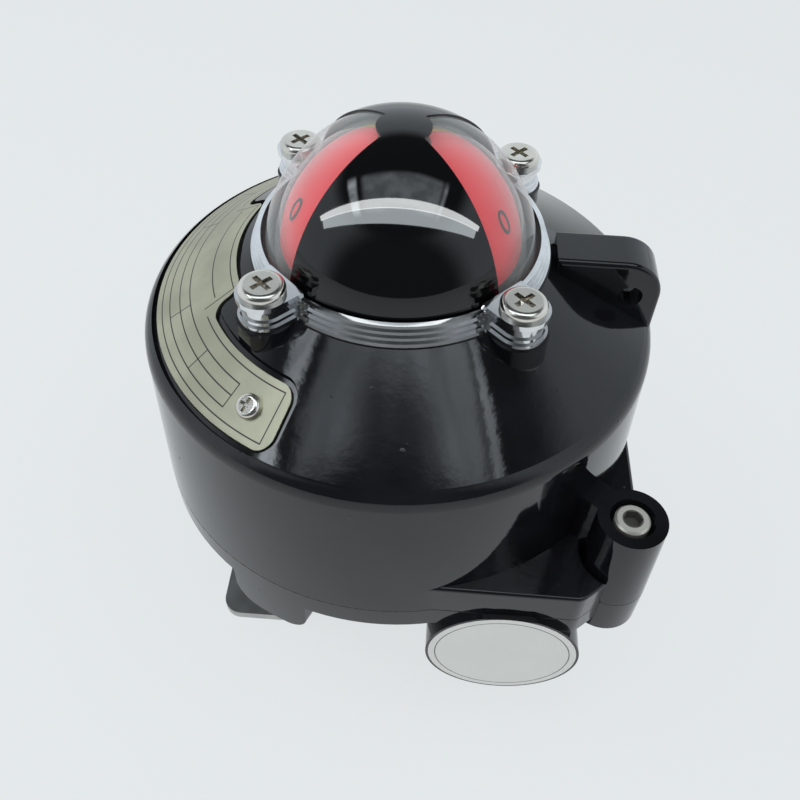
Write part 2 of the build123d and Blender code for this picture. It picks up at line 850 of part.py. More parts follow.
with BuildPart() as dome_clear:
    with BuildSketch(Plane.XZ):
        with BuildLine():
            outer_foot = dome_reach(clear_radius, dome_flange_top)
            inner_foot = dome_reach(clear_inner, gasket_top)
            ThreePointArc(
                (outer_foot, dome_flange_top),
                (clear_radius * cos(radians(50)), dome_z + clear_radius * sin(radians(50))),
                (0, dome_z + clear_radius),
            )
            Line((0, dome_z + clear_radius), (0, dome_z + clear_inner))
            ThreePointArc(
                (0, dome_z + clear_inner),
                (clear_inner * cos(radians(50)), dome_z + clear_inner * sin(radians(50))),
                (inner_foot, gasket_top),
            )
            Polyline(
                (inner_foot, gasket_top),
                (dome_flange_radius, gasket_top),
                (dome_flange_radius, dome_flange_top),
                (outer_foot, dome_flange_top),
            )
        make_face()
    revolve(axis=Axis.Z)
dome_clear.part.label = "dome_clear"
export_step(dome_clear.part, "parts/dome_clear.step")

with BuildPart() as dome_mask:
    with BuildSketch(Plane.XZ):
        with BuildLine():
            outer_foot = dome_reach(dome_radius, dome_flange_top)
            inner_foot = dome_reach(mask_inner, dome_flange_top)
            ThreePointArc(
                (outer_foot, dome_flange_top),
                (dome_radius * cos(radians(50)), dome_z + dome_radius * sin(radians(50))),
                (0, dome_z + dome_radius),
            )
            Line((0, dome_z + dome_radius), (0, dome_z + mask_inner))
            ThreePointArc(
                (0, dome_z + mask_inner),
                (mask_inner * cos(radians(50)), dome_z + mask_inner * sin(radians(50))),
                (inner_foot, dome_flange_top),
            )
            Line((inner_foot, dome_flange_top), (outer_foot, dome_flange_top))
        make_face()
    revolve(axis=Axis.Z)
    with BuildSketch(Plane.XY.offset(dome_flange_top)):
        for azimuth in (0, 180):
            with BuildLine():
                edge_reach = 2 * dome_radius
                Polyline(
                    (0, 0),
                    polar(edge_reach, azimuth - window_half_angle),
                    polar(edge_reach, azimuth + window_half_angle),
                    close=True,
                )
            make_face()
        Circle(mask_cap_radius, mode=Mode.SUBTRACT)
    extrude(amount=dome_radius, mode=Mode.SUBTRACT)
dome_mask.part.label = "dome_mask"
export_step(dome_mask.part, "parts/dome_mask.step")

ring_top = dome_flange_top + ring_height
ear_top = neck_z + ear_height
def ear_sketch(height, inset):
    # Plan of the four ears, drawn in from their full outline.
    with BuildSketch(Plane.XY.offset(height)) as ears:
        with PolarLocations(ear_circle, 4, start_angle=45):
            Circle(ear_radius - inset)
        with PolarLocations((ear_circle + ring_inner) / 2, 4, start_angle=45):
            Rectangle(ear_circle - ring_inner, 2 * (ear_radius - inset))
    return ears.sketch


with BuildPart() as retaining_ring:
    # Banded skirt that narrows upwards, and the same bands round the ears' feet
    band_height = (ring_top - neck_z) / (ring_bands + 1)
    for band in range(ring_bands + 1):
        with BuildSketch(Plane.XY.offset(neck_z + band * band_height)):
            Circle(ring_outer_radius - band * ring_step)
        extrude(amount=band_height)
    for band in range(ring_bands):
        add(ear_sketch(neck_z + band * ear_band, band * ring_step))
        extrude(amount=ear_band)
    # Waist and top plate of the ears
    add(ear_sketch(neck_z, ear_waist))
    extrude(amount=ear_height)
    add(ear_sketch(ear_top - ear_plate, 0))
    extrude(amount=ear_plate)
    # Bore over the dome's foot and the screw holes
    with BuildSketch(Plane.XY.offset(neck_z)):
        Circle(dome_flange_radius + skin_gap)
    extrude(amount=dome_flange_top - neck_z, mode=Mode.SUBTRACT)
    with BuildSketch(Plane.XY.offset(neck_z)):
        Circle(ring_inner)
    extrude(amount=ear_height, mode=Mode.SUBTRACT)
    with BuildSketch(Plane.XY.offset(neck_z)):
        with PolarLocations(ear_circle, 4, start_angle=45):
            Circle(bolt_radius + bolt_clearance)
    extrude(amount=ear_height, mode=Mode.SUBTRACT)
retaining_ring.part.label = "retaining_ring"
export_step(retaining_ring.part, "parts/retaining_ring.step")

with BuildPart() as ring_screws:
    ring_screw = pan_screw(screw_head_radius, screw_head_height, bolt_radius - thread_gap, ring_screw_length, 5.4)
    with PolarLocations(ear_circle, 4, start_angle=45):
        with Locations((0, 0, ear_top)):
            add(ring_screw)
ring_screws.part.label = "ring_screws"
export_step(ring_screws.part, "parts/ring_screws.step")

# ---------------------------------------------------------------- nameplate
with BuildPart() as nameplate:
    add(crown_layer(plate_recess - plate_thickness, plate_recess))
    add(plate_sketch(0))
    extrude(amount=neck_z, mode=Mode.INTERSECT)
    for azimuth in (plate_screw_azimuth, -plate_screw_azimuth):
        with BuildSketch(crown_plane(azimuth, plate_screw_circle)):
            Circle(plate_screw_radius + 0.1)
        extrude(amount=-plate_recess * 2, mode=Mode.SUBTRACT)
nameplate.part.label = "nameplate"
export_step(nameplate.part, "parts/nameplate.step")

with BuildPart() as nameplate_screws:
    plate_screw = pan_screw(
        plate_screw_head_radius,
        plate_screw_head_height,
        plate_screw_radius - thread_gap,
        plate_screw_length,
        3.4,
    )
    for azimuth in (plate_screw_azimuth, -plate_screw_azimuth):
        with Locations(crown_plane(azimuth, plate_screw_circle, plate_recess - plate_thickness).location):
            add(plate_screw)
nameplate_screws.part.label = "nameplate_screws"
export_step(nameplate_screws.part, "parts/nameplate_screws.step")

# ---------------------------------------------------------------- drive shaft
seal_floor = shaft_radius - ring_groove
shaft_seal_z = (bush_bottom + bush_top) / 2
washer_z = bush_top
clip_z = washer_z + washer_thickness + axial_gap
clip_floor = shaft_radius - clip_depth
collar_top = bracket_height - bracket_sheet - axial_gap

with BuildPart() as base_bush:
    with BuildSketch(Plane.XY.offset(bush_bottom)):
        Circle(bush_radius)
        Circle(shaft_radius + running_gap, mode=Mode.SUBTRACT)
    extrude(amount=bush_top - bush_bottom)
base_bush.part.label = "base_bush"
export_step(base_bush.part, "parts/base_bush.step")

with BuildPart() as main_shaft:
    with BuildSketch(Plane.XY.offset(shaft_end_height)):
        Circle(shaft_radius)
    extrude(amount=shaft_top - shaft_end_height)
    with BuildSketch(Plane.XY.offset(collar_top)):
        Circle(collar_radius)
    extrude(amount=-collar_thickness)
    # Tongue for the actuator's slot
    with BuildSketch(Plane.XY.offset(shaft_end_height)):
        for side in (-1, 1):
            with Locations((0, side * (shaft_radius + tongue_width / 2))):
                Rectangle(4 * shaft_radius, 2 * shaft_radius)
    extrude(amount=tongue_length, mode=Mode.SUBTRACT)
    # Slot that drives the indicator shaft
    with BuildSketch(Plane.XY.offset(shaft_top)):
        Rectangle(2 * shaft_radius + 1, slot_width)
    extrude(amount=-slot_depth, mode=Mode.SUBTRACT)
    # Grooves for the seal and the clip
    with BuildSketch(Plane.XY.offset(shaft_seal_z - seal_section / 2 - thread_gap)):
        Circle(shaft_radius + 1)
        Circle(seal_floor, mode=Mode.SUBTRACT)
    extrude(amount=seal_section + 2 * thread_gap, mode=Mode.SUBTRACT)
    with BuildSketch(Plane.XY.offset(clip_z)):
        Circle(shaft_radius + 1)
        Circle(clip_floor, mode=Mode.SUBTRACT)
    extrude(amount=washer_thickness, mode=Mode.SUBTRACT)
main_shaft.part.label = "main_shaft"
export_step(main_shaft.part, "parts/main_shaft.step")

with BuildPart() as shaft_oring:
    with BuildSketch(Plane.XZ):
        with Locations((seal_floor + ring_groove / 2, shaft_seal_z)):
            Circle(ring_groove / 2)
    revolve(axis=Axis.Z)
shaft_oring.part.label = "shaft_oring"
export_step(shaft_oring.part, "parts/shaft_oring.step")

with BuildPart() as thrust_washer:
    with BuildSketch(Plane.XY.offset(washer_z)):
        Circle(washer_radius)
        Circle(shaft_radius + running_gap, mode=Mode.SUBTRACT)
    extrude(amount=washer_thickness)
thrust_washer.part.label = "thrust_washer"
export_step(thrust_washer.part, "parts/thrust_washer.step")

with BuildPart() as shaft_circlip:
    with BuildSketch(Plane.XY.offset(clip_z)):
        Circle(shaft_radius + clip_reach)
        Circle(clip_floor, mode=Mode.SUBTRACT)
        with Locations((0, shaft_radius + clip_reach)):
            Rectangle(3, 2 * clip_reach + 2, mode=Mode.SUBTRACT)
    extrude(amount=washer_thickness)
shaft_circlip.part.label = "shaft_circlip"
export_step(shaft_circlip.part, "parts/shaft_circlip.step")

# ---------------------------------------------------------------- indicator shaft
indicator_top = neck_z + indicator_rise

with BuildPart() as cover_bush:
    with BuildSketch(Plane.XY.offset(boss_bottom_z)):
        Circle(bush_outer)
        Circle(indicator_radius + running_gap, mode=Mode.SUBTRACT)
    extrude(amount=neck_z - boss_bottom_z)
cover_bush.part.label = "cover_bush"
export_step(cover_bush.part, "parts/cover_bush.step")

with BuildPart() as indicator_shaft:
    with BuildSketch(Plane.XY.offset(shaft_top + axial_gap)):
        Circle(indicator_radius)
    extrude(amount=indicator_top - shaft_top - axial_gap)
    with BuildSketch(Plane.XY.offset(boss_bottom_z - axial_gap)):
        Circle(indicator_collar_radius)
    extrude(amount=-collar_thickness)
    with BuildSketch(Plane.XY.offset(shaft_top + axial_gap)):
        Rectangle(2 * indicator_radius - 1, slot_width - 2 * slot_gap)
    extrude(amount=0.5 - slot_depth)
    with BuildSketch(Plane.XY.offset(indicator_top)):
        Circle(rotor_screw_radius)
    extrude(amount=-rotor_screw_bite - 1, mode=Mode.SUBTRACT)
indicator_shaft.part.label = "indicator_shaft"
export_step(indicator_shaft.part, "parts/indicator_shaft.step")

# ---------------------------------------------------------------- rotor
rotor_radius = clear_inner - rotor_gap
rotor_z = gasket_top + rotor_lift
rotor_inner = rotor_radius - rotor_wall
cap_z = dome_z + sqrt(rotor_radius**2 - rotor_eye_radius**2)
cap_floor_z = cap_z - 2 * rotor_wall

with BuildPart() as rotor_carrier:
    with BuildSketch(Plane.XY.offset(rotor_z)):
        Circle(dome_reach(rotor_radius, rotor_z))
        Circle(indicator_radius, mode=Mode.SUBTRACT)
    extrude(amount=rotor_floor)
    with BuildSketch(Plane.XY.offset(rotor_z)):
        Circle(rotor_hub_radius)
        Circle(indicator_radius, mode=Mode.SUBTRACT)
    extrude(amount=rotor_hub_height)
    with BuildSketch(Plane.XY.offset(indicator_top)):
        Circle(rotor_post_radius)
        Circle(rotor_screw_radius + bolt_clearance, mode=Mode.SUBTRACT)
    extrude(amount=cap_floor_z - indicator_top)
    with BuildSketch(Plane.XY.offset(rotor_z + rotor_hub_height)):
        Circle(rotor_hub_radius)
        Circle(rotor_screw_radius + bolt_clearance, mode=Mode.SUBTRACT)
    extrude(amount=rotor_wall)
rotor_carrier.part.label = "rotor_carrier"
export_step(rotor_carrier.part, "parts/rotor_carrier.step")

with BuildPart() as rotor_shell:
    # Dome-shaped indicator shell standing on the carrier, open at the top round the eye.
    shell_z = rotor_z + rotor_floor
    with BuildSketch(Plane.XZ):
        with BuildLine():
            foot_outer = dome_reach(rotor_radius, shell_z)
            foot_inner = dome_reach(rotor_inner, shell_z)
            eye_inner_z = dome_z + sqrt(rotor_inner**2 - rotor_eye_radius**2)
            ThreePointArc(
                (foot_outer, shell_z),
                (rotor_radius * cos(radians(45)), dome_z + rotor_radius * sin(radians(45))),
                (rotor_eye_radius, cap_z),
            )
            Line((rotor_eye_radius, cap_z), (rotor_eye_radius, eye_inner_z))
            ThreePointArc(
                (rotor_eye_radius, eye_inner_z),
                (rotor_inner * cos(radians(45)), dome_z + rotor_inner * sin(radians(45))),
                (foot_inner, shell_z),
            )
            Line((foot_inner, shell_z), (foot_outer, shell_z))
        make_face()
    revolve(axis=Axis.Z)


def rotor_quadrants(azimuths):
    # The two opposite quadrants of the rotor shell centred on the azimuths.
    with BuildPart() as quadrants:
        add(rotor_shell.part)
        with BuildSketch(Plane.XY.offset(rotor_z)):
            for azimuth in azimuths:
                with BuildLine():
                    Polyline(
                        (0, 0),
                        polar(2 * rotor_radius, azimuth - window_half_angle),
                        polar(2 * rotor_radius, azimuth + window_half_angle),
                        close=True,
                    )
                make_face()
        extrude(amount=dome_radius, mode=Mode.INTERSECT)
    return quadrants.part


with BuildPart() as rotor_red:
    add(rotor_quadrants((0, 180)))
rotor_red.part.label = "rotor_red"
export_step(rotor_red.part, "parts/rotor_red.step")

with BuildPart() as rotor_yellow:
    add(rotor_quadrants((90, 270)))
rotor_yellow.part.label = "rotor_yellow"
export_step(rotor_yellow.part, "parts/rotor_yellow.step")

with BuildPart() as rotor_cap:
    with BuildSketch(Plane.XY.offset(cap_floor_z)):
        Circle(rotor_eye_radius - skin_gap)
        Circle(rotor_screw_radius + bolt_clearance, mode=Mode.SUBTRACT)
    extrude(amount=rotor_wall)
rotor_cap.part.label = "rotor_cap"
export_step(rotor_cap.part, "parts/rotor_cap.step")

with BuildPart() as rotor_screw:
    rotor_screw_seat = cap_floor_z + rotor_wall
    with Locations((0, 0, rotor_screw_seat)):
        add(
            pan_screw(
                rotor_screw_head_radius,
                rotor_screw_head_height,
                rotor_screw_radius - thread_gap,
                rotor_screw_seat - indicator_top + rotor_screw_bite,
                4.0,
            )
        )
rotor_screw.part.label = "rotor_screw"
export_step(rotor_screw.part, "parts/rotor_screw.step")

# ---------------------------------------------------------------- switch deck
switch_back_reach = switch_face_reach + switch_width
switch_screw_reach = switch_back_reach - switch_hole_rise

with BuildPart() as mounting_plate:
    with BuildSketch(Plane.XY.offset(deck_z)) as deck_plan:
        Circle(deck_radius)
        with Locations((deck_cut, -deck_cut)):
            Rectangle(2 * deck_radius, 2 * deck_radius, align=(Align.MIN, Align.MAX), mode=Mode.SUBTRACT)
        fillet(deck_plan.vertices(), deck_corner)
        Circle(deck_hole_radius, mode=Mode.SUBTRACT)
        with Locations(*post_places):
            Circle(plate_screw_radius + switch_screw_gap, mode=Mode.SUBTRACT)
        with Locations((-switch_screw_reach, 0)):
            with GridLocations(0, switch_hole_spacing, 1, 2):
                Circle(switch_screw_radius, mode=Mode.SUBTRACT)
    extrude(amount=deck_thickness)
mounting_plate.part.label = "mounting_plate"
export_step(mounting_plate.part, "parts/mounting_plate.step")

with BuildPart() as plate_screws:
    deck_screw = pan_screw(
        plate_screw_head_radius,
        plate_screw_head_height,
        plate_screw_radius - thread_gap,
        deck_screw_length,
        3.4,
    )
    with Locations(*[(place[0], place[1], deck_top) for place in post_places]):
        add(deck_screw)
plate_screws.part.label = "plate_screws"
export_step(plate_screws.part, "parts/plate_screws.step")

# ---------------------------------------------------------------- microswitches
lower_switch_z = deck_top
upper_switch_z = deck_top + switch_thickness + spacer_thickness
pin_hole = lever_pin_radius + running_gap * 2
barrel_radius = pin_hole + lever_barrel_wall
low_reach = cam_low_radius + roller_radius + follower_gap
high_reach = low_reach + cam_rise
arm_length = hypot(lever_pivot_reach - low_reach, lever_pivot_back)
low_angle = degrees(atan2(lever_pivot_back, lever_pivot_reach - low_reach))
high_angle = degrees(atan2(sqrt(arm_length**2 - (lever_pivot_reach - high_reach) ** 2), lever_pivot_reach - high_reach))
lever_swing = high_angle - low_angle
plunger_arm = lever_pivot_back - plunger_back
plunger_travel = plunger_arm * radians(lever_swing)
plunger_tip = lever_bend_reach + lever_sheet / 2 + plunger_gap
pivot_axis = Axis((-lever_pivot_reach, -lever_pivot_back, 0), (0, 0, 1))
cheek_outer = lever_width / 2
cheek_inner = roller_width / 2 + roller_gap


def microswitch(height):
    # Snap-action switch lying flat: body, two pivot tabs with their pin, two fixing holes.
    with BuildPart() as switch:
        with BuildSketch(Plane.XY.offset(height)) as body_plan:
            with Locations((-switch_face_reach - switch_width / 2, 0)):
                Rectangle(switch_width, switch_length)
            fillet(body_plan.vertices(), 1.0)
            with Locations((-switch_screw_reach, 0)):
                with GridLocations(0, switch_hole_spacing, 1, 2):
                    Circle(switch_screw_radius + switch_screw_gap, mode=Mode.SUBTRACT)
        extrude(amount=switch_thickness)
        middle_z = height + switch_thickness / 2
        for side in (-1, 1):
            tab_z = middle_z + side * (lever_width / 2 + roller_gap)
            with BuildSketch(Plane.XY.offset(tab_z)):
                with Locations((-lever_pivot_reach, -lever_pivot_back)):
                    Circle(barrel_radius)
                    Rectangle(
                        switch_face_reach - lever_pivot_reach,
                        2 * barrel_radius,
                        align=(Align.MAX, Align.CENTER),
                    )
            extrude(amount=side * lever_sheet)
        with BuildSketch(Plane.XY.offset(middle_z)):
            with Locations((-lever_pivot_reach, -lever_pivot_back)):
                Circle(lever_pin_radius)
        extrude(amount=lever_width / 2 + roller_gap, both=True)
        with BuildSketch(Plane.YZ.offset(-switch_face_reach)):
            with Locations((-plunger_back, middle_z)):
                Circle(plunger_radius + running_gap * 2)
        extrude(amount=-plunger_length - plunger_travel, mode=Mode.SUBTRACT)
    return switch.part


def roller_lever(height):
    # Bent sheet lever at its low position: barrel, web, two cheeks and the roller pin.
    middle_z = height + switch_thickness / 2
    with BuildPart() as lever:
        with BuildSketch(Plane.XY.offset(middle_z)):
            with BuildLine() as bend:
                Polyline(
                    (-lever_pivot_reach, -lever_pivot_back),
                    (-lever_bend_reach, -lever_bend_back),
                    (-low_reach - roller_radius - 0.6, -roller_radius * 0.6),
                )
            trace(bend.line, line_width=lever_sheet)
            with Locations((-lever_pivot_reach, -lever_pivot_back)):
                Circle(barrel_radius)
                Circle(pin_hole, mode=Mode.SUBTRACT)
        extrude(amount=cheek_outer, both=True)
        for side in (-1, 1):
            with BuildSketch(Plane.XY.offset(middle_z + side * cheek_inner)):
                with BuildLine() as arm:
                    Polyline(
                        (-lever_bend_reach, -lever_bend_back),
                        (-low_reach - roller_radius - 0.6, -roller_radius * 0.6),
                        (-low_reach, 0),
                    )
                trace(arm.line, line_width=2 * lever_sheet)
                with Locations((-low_reach, 0)):
                    Circle(roller_radius * 0.6)
            extrude(amount=side * (cheek_outer - cheek_inner))
        with BuildSketch(Plane.XY.offset(middle_z)):
            with Locations((-low_reach, 0)):
                Circle(lever_pin_radius)
        extrude(amount=cheek_outer, both=True)
    return lever.part


def lever_roller(height):
    with BuildPart() as roller:
        with BuildSketch(Plane.XY.offset(height + switch_thickness / 2)):
            with Locations((-low_reach, 0)):
                Circle(roller_radius)
                Circle(lever_pin_radius + running_gap, mode=Mode.SUBTRACT)
        extrude(amount=roller_width / 2, both=True)
    return roller.part


def plunger(height, travel):
    # Push button of a switch at a travel from its released position.
    with BuildPart() as button:
        with BuildSketch(Plane.YZ.offset(-plunger_tip - travel)):
            with Locations((-plunger_back, height + switch_thickness / 2)):
                Circle(plunger_radius)
        extrude(amount=plunger_tip - switch_face_reach - plunger_length)
    return button.part


def switch_tab_set(height):
    # Three solder tabs standing out of the back of a switch.
    with BuildPart() as tabs:
        for side in (-1, 0, 1):
            with BuildSketch(Plane.YZ.offset(-switch_back_reach)):
                with Locations((side * switch_length / 3.2, height + switch_thickness / 2)):
                    Rectangle(tab_size, tab_thickness)
            extrude(amount=-tab_reach)
    return tabs.part


for level, height, angle, travel in (
    ("lower", lower_switch_z, 0.0, 0.0),
    ("upper", upper_switch_z, lever_swing, plunger_travel),
):
    switch_pieces = (
        ("switch", microswitch(height)),
        ("lever", roller_lever(height).rotate(pivot_axis, angle)),
        ("roller", lever_roller(height).rotate(pivot_axis, angle)),
        ("plunger", plunger(height, travel)),
        ("switch_tabs", switch_tab_set(height)),
    )
    for name, piece in switch_pieces:
        piece.label = f"{name}_{level}"
        export_step(piece, f"parts/{piece.label}.step")

with BuildPart() as switch_spacer:
    with BuildSketch(Plane.XY.offset(lower_switch_z + switch_thickness)) as spacer_plan:
        with Locations((-switch_face_reach - switch_width / 2, 0)):
            Rectangle(switch_width, switch_length)
        fillet(spacer_plan.vertices(), 1.0)
        with Locations((-switch_screw_reach, 0)):
            with GridLocations(0, switch_hole_spacing, 1, 2):
                Circle(switch_screw_radius + switch_screw_gap, mode=Mode.SUBTRACT)
    extrude(amount=spacer_thickness)
switch_spacer.part.label = "switch_spacer"
export_step(switch_spacer.part, "parts/switch_spacer.step")

switch_top = upper_switch_z + switch_thickness
with BuildPart() as switch_screws:
    long_screw = pan_screw(
        plate_screw_head_radius,
        plate_screw_head_height,
        switch_screw_radius - thread_gap,
        switch_top - deck_z,
        3.4,
    )
    with Locations((-switch_screw_reach, 0, switch_top)):
        with GridLocations(0, switch_hole_spacing, 1, 2):
            add(long_screw)
switch_screws.part.label = "switch_screws"
export_step(switch_screws.part, "parts/switch_screws.step")

# ---------------------------------------------------------------- cams
lower_cam_z = lower_switch_z + (switch_thickness - cam_thickness) / 2
upper_cam_z = upper_switch_z + (switch_thickness - cam_thickness) / 2
cam_bore = hub_radius + spline_gap
cam_top_radius = cam_low_radius + cam_rise * (1 + cam_overrun / turn_angle)


def spline_sketch(height, radius, width, depth):
    with BuildSketch(Plane.XY.offset(height)) as star:
        Circle(radius)
        with PolarLocations(radius, spline_count):
            Rectangle(2 * depth, width)
    return star.sketch


def cam(height, direction):
    # Follower edge on the -X side: radius grows evenly round the turn in one direction.
    with BuildPart() as disc:
        with BuildSketch(Plane.XY.offset(height)):
            with BuildLine():
                steps = 8
                edge_points = []
                for step_index in range(steps + 1):
                    turn = -cam_overrun + (turn_angle + 2 * cam_overrun) * step_index / steps
                    edge_radius = cam_low_radius + cam_rise * turn / turn_angle
                    if direction > 0:
                        edge_points.append(polar(edge_radius, 180 - turn))
                    else:
                        edge_points.append(polar(edge_radius, turn_angle + turn))
                rise_edge = Spline(*edge_points)
                if direction > 0:
                    lobe = CenterArc((0, 0), cam_top_radius, 180 - turn_angle - cam_overrun, -180)
                else:
                    lobe = CenterArc((0, 0), cam_top_radius, 180 + cam_overrun, 180)
                Line(lobe @ 1, rise_edge @ 0)
            make_face()
        extrude(amount=cam_thickness)
        add(spline_sketch(height, cam_bore, spline_width + spline_gap, spline_depth + spline_gap))
        extrude(amount=cam_thickness, mode=Mode.SUBTRACT)
    return disc.part


for level, height, direction in (("lower", lower_cam_z, 1), ("upper", upper_cam_z, -1)):
    piece = cam(height, direction)
    piece.label = f"cam_{level}"
    export_step(piece, f"parts/{piece.label}.step")

hub_flange_radius = hub_radius + 2 * spline_depth + 1
hub_foot_z = deck_z
hub_top = upper_cam_z + cam_thickness + deck_thickness
with BuildPart() as cam_hub:
    add(spline_sketch(hub_foot_z, hub_radius, spline_width, spline_depth))
    extrude(amount=hub_top - hub_foot_z)
    with BuildSketch(Plane.XY.offset(hub_foot_z)):
        Circle(hub_flange_radius)
    extrude(amount=lower_cam_z - hub_foot_z)
    with BuildSketch(Plane.XY.offset(hub_foot_z)):
        Circle(shaft_radius + hub_wall_gap)
    extrude(amount=hub_top - hub_foot_z, mode=Mode.SUBTRACT)
cam_hub.part.label = "cam_hub"
export_step(cam_hub.part, "parts/cam_hub.step")

with BuildPart() as cam_cap:
    with BuildSketch(Plane.XY.offset(upper_cam_z + cam_thickness)):
        Circle(hub_flange_radius)
    extrude(amount=deck_thickness)
    add(spline_sketch(upper_cam_z + cam_thickness, cam_bore, spline_width + spline_gap, spline_depth + spline_gap))
    extrude(amount=deck_thickness, mode=Mode.SUBTRACT)
cam_cap.part.label = "cam_cap"
export_step(cam_cap.part, "parts/cam_cap.step")

spring_radius = hub_radius + spline_depth + spline_gap + spring_wire
spring_height = upper_cam_z - lower_cam_z - cam_thickness - spring_wire
with BuildPart() as cam_spring:
    with BuildLine(Plane.XY.offset(lower_cam_z + cam_thickness + spring_wire / 2)):
        coil = Helix(pitch=spring_height / 3, height=spring_height, radius=spring_radius)
    with BuildSketch(Plane(origin=coil @ 0, z_dir=coil % 0)):
        Circle(spring_wire / 2)
    sweep(path=coil, is_frenet=True)
cam_spring.part.label = "cam_spring"
export_step(cam_spring.part, "parts/cam_spring.step")

# ---------------------------------------------------------------- terminals
terminal_length = terminal_ways * terminal_pitch
terminal_front = terminal_back - terminal_depth
ridge_inset = (terminal_depth - terminal_step) / 2
screw_level = deck_top + terminal_height - terminal_step

with BuildPart() as terminal_block:
    with BuildSketch(Plane.XY.offset(deck_top)):
        with Locations((0, terminal_front + terminal_depth / 2)):
            Rectangle(terminal_length, terminal_depth)
    extrude(amount=terminal_height - terminal_step)
    with BuildSketch(Plane.XY.offset(deck_top)):
        with Locations((0, terminal_front + terminal_depth / 2)):
            Rectangle(terminal_length, terminal_step)
            with GridLocations(terminal_pitch, 0, terminal_ways + 1, 1):
                Rectangle(barrier_thickness, terminal_depth)
    extrude(amount=terminal_height)
    with BuildSketch(Plane.XY.offset(screw_level)):
        with Locations((0, terminal_front + terminal_depth / 2)):
            with GridLocations(terminal_pitch, terminal_depth - ridge_inset, terminal_ways, 2):
                Circle(plate_screw_radius)
    extrude(amount=-terminal_step, mode=Mode.SUBTRACT)
terminal_block.part.label = "terminal_block"
export_step(terminal_block.part, "parts/terminal_block.step")

with BuildPart() as terminal_screws:
    terminal_screw = pan_screw(2.0, 1.5, plate_screw_radius - thread_gap, terminal_step - 0.5, 2.6)
    with Locations((0, terminal_front + terminal_depth / 2, screw_level)):
        with GridLocations(terminal_pitch, terminal_depth - ridge_inset, terminal_ways, 2):
            add(terminal_screw)
terminal_screws.part.label = "terminal_screws"
export_step(terminal_screws.part, "parts/terminal_screws.step")
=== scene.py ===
import json
import math
import bmesh
import bpy
from mathutils import Matrix, Vector

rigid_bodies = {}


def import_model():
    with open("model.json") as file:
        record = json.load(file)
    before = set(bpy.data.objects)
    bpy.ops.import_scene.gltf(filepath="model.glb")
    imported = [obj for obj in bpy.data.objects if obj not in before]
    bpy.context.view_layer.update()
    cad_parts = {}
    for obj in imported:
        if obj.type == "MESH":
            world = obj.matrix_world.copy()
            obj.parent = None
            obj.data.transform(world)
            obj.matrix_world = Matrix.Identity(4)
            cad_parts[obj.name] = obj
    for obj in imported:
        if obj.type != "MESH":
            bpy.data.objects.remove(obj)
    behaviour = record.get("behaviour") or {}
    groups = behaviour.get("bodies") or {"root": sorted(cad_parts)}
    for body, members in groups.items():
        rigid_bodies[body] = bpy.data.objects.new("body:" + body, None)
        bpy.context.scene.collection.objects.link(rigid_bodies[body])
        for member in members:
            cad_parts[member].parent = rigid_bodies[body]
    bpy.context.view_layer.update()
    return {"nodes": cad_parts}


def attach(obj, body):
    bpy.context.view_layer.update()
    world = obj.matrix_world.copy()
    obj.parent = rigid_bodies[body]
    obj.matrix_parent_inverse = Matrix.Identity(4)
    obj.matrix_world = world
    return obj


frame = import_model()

nodes = frame["nodes"]
mm = 0.001

cameraLook = {
    "place": (8.66 * mm, -165.14 * mm, 263.17 * mm),
    "lens": 38.23,
    "heading": 2.62,  # degrees to the left of +Y
    "pitch": 48.78,  # degrees below the horizon
    "roll": 1.94,
}


def placeCamera(look):
    cameraData = bpy.data.cameras.new("camera")
    cameraData.lens = look["lens"]
    cameraData.sensor_width = 36
    cameraData.clip_start = 0.01
    camera = bpy.data.objects.new("camera", cameraData)
    turn = Matrix.Rotation(math.radians(look["heading"]), 4, "Z")
    tilt = Matrix.Rotation(math.radians(90 - look["pitch"]), 4, "X")
    roll = Matrix.Rotation(math.radians(look["roll"]), 4, "Z")
    camera.matrix_world = Matrix.Translation(look["place"]) @ turn @ tilt @ roll
    bpy.context.collection.objects.link(camera)
    bpy.context.scene.camera = camera


placeCamera(cameraLook)
print("camera placed")


ruleFade = 0.15  # share of a drawn rule's width over which each of its edges fades


class Shade:
    # A shader socket, so that sums and products on it become Math nodes.
    def __init__(self, tree, socket=None):
        self.tree = tree
        self.socket = socket

    def make(self, kind, settings=None, inputs=None, output=0):
        node = self.tree.nodes.new(kind)
        for name, value in (settings or {}).items():
            setattr(node, name, value)
        for name, value in (inputs or {}).items():
            if isinstance(value, Shade):
                self.tree.links.new(value.socket, node.inputs[name])
            else:
                node.inputs[name].default_value = value
        return Shade(self.tree, node.outputs[output])

    def calculate(self, operation, first, second=0.0):
        return self.make("ShaderNodeMath", {"operation": operation}, {0: first, 1: second})

    def __add__(self, other):
        return self.calculate("ADD", self, other)

    __radd__ = __add__

    def __sub__(self, other):
        return self.calculate("SUBTRACT", self, other)

    def __rsub__(self, other):
        return self.calculate("SUBTRACT", other, self)

    def __mul__(self, other):
        return self.calculate("MULTIPLY", self, other)

    def __abs__(self):
        return self.calculate("ABSOLUTE", self)

    def larger(self, other):
        return self.calculate("MAXIMUM", self, other)

    def near(self, target, width):
        # 1 within half a width of a target, 0 away from it
        return 1.0 - abs(self - target).step(width * (0.5 - ruleFade), width * (0.5 + ruleFade))

    def axes(self):
        parts = self.make("ShaderNodeSeparateXYZ", inputs={0: self})
        return [Shade(self.tree, parts.socket.node.outputs[index]) for index in range(3)]

    def step(self, low, high):
        # 0 below low, 1 above high, smooth between
        return self.make(
            "ShaderNodeMapRange",
            {"interpolation_type": "SMOOTHSTEP"},
            {"Value": self, "From Min": low, "From Max": high, "To Min": 0.0, "To Max": 1.0},
        )

    def mix(self, first, second):
        # a colour between two, with this value as the factor
        return self.make(
            "ShaderNodeMix",
            {"data_type": "RGBA"},
            {0: self, 6: first, 7: second},
            output=2,
        )


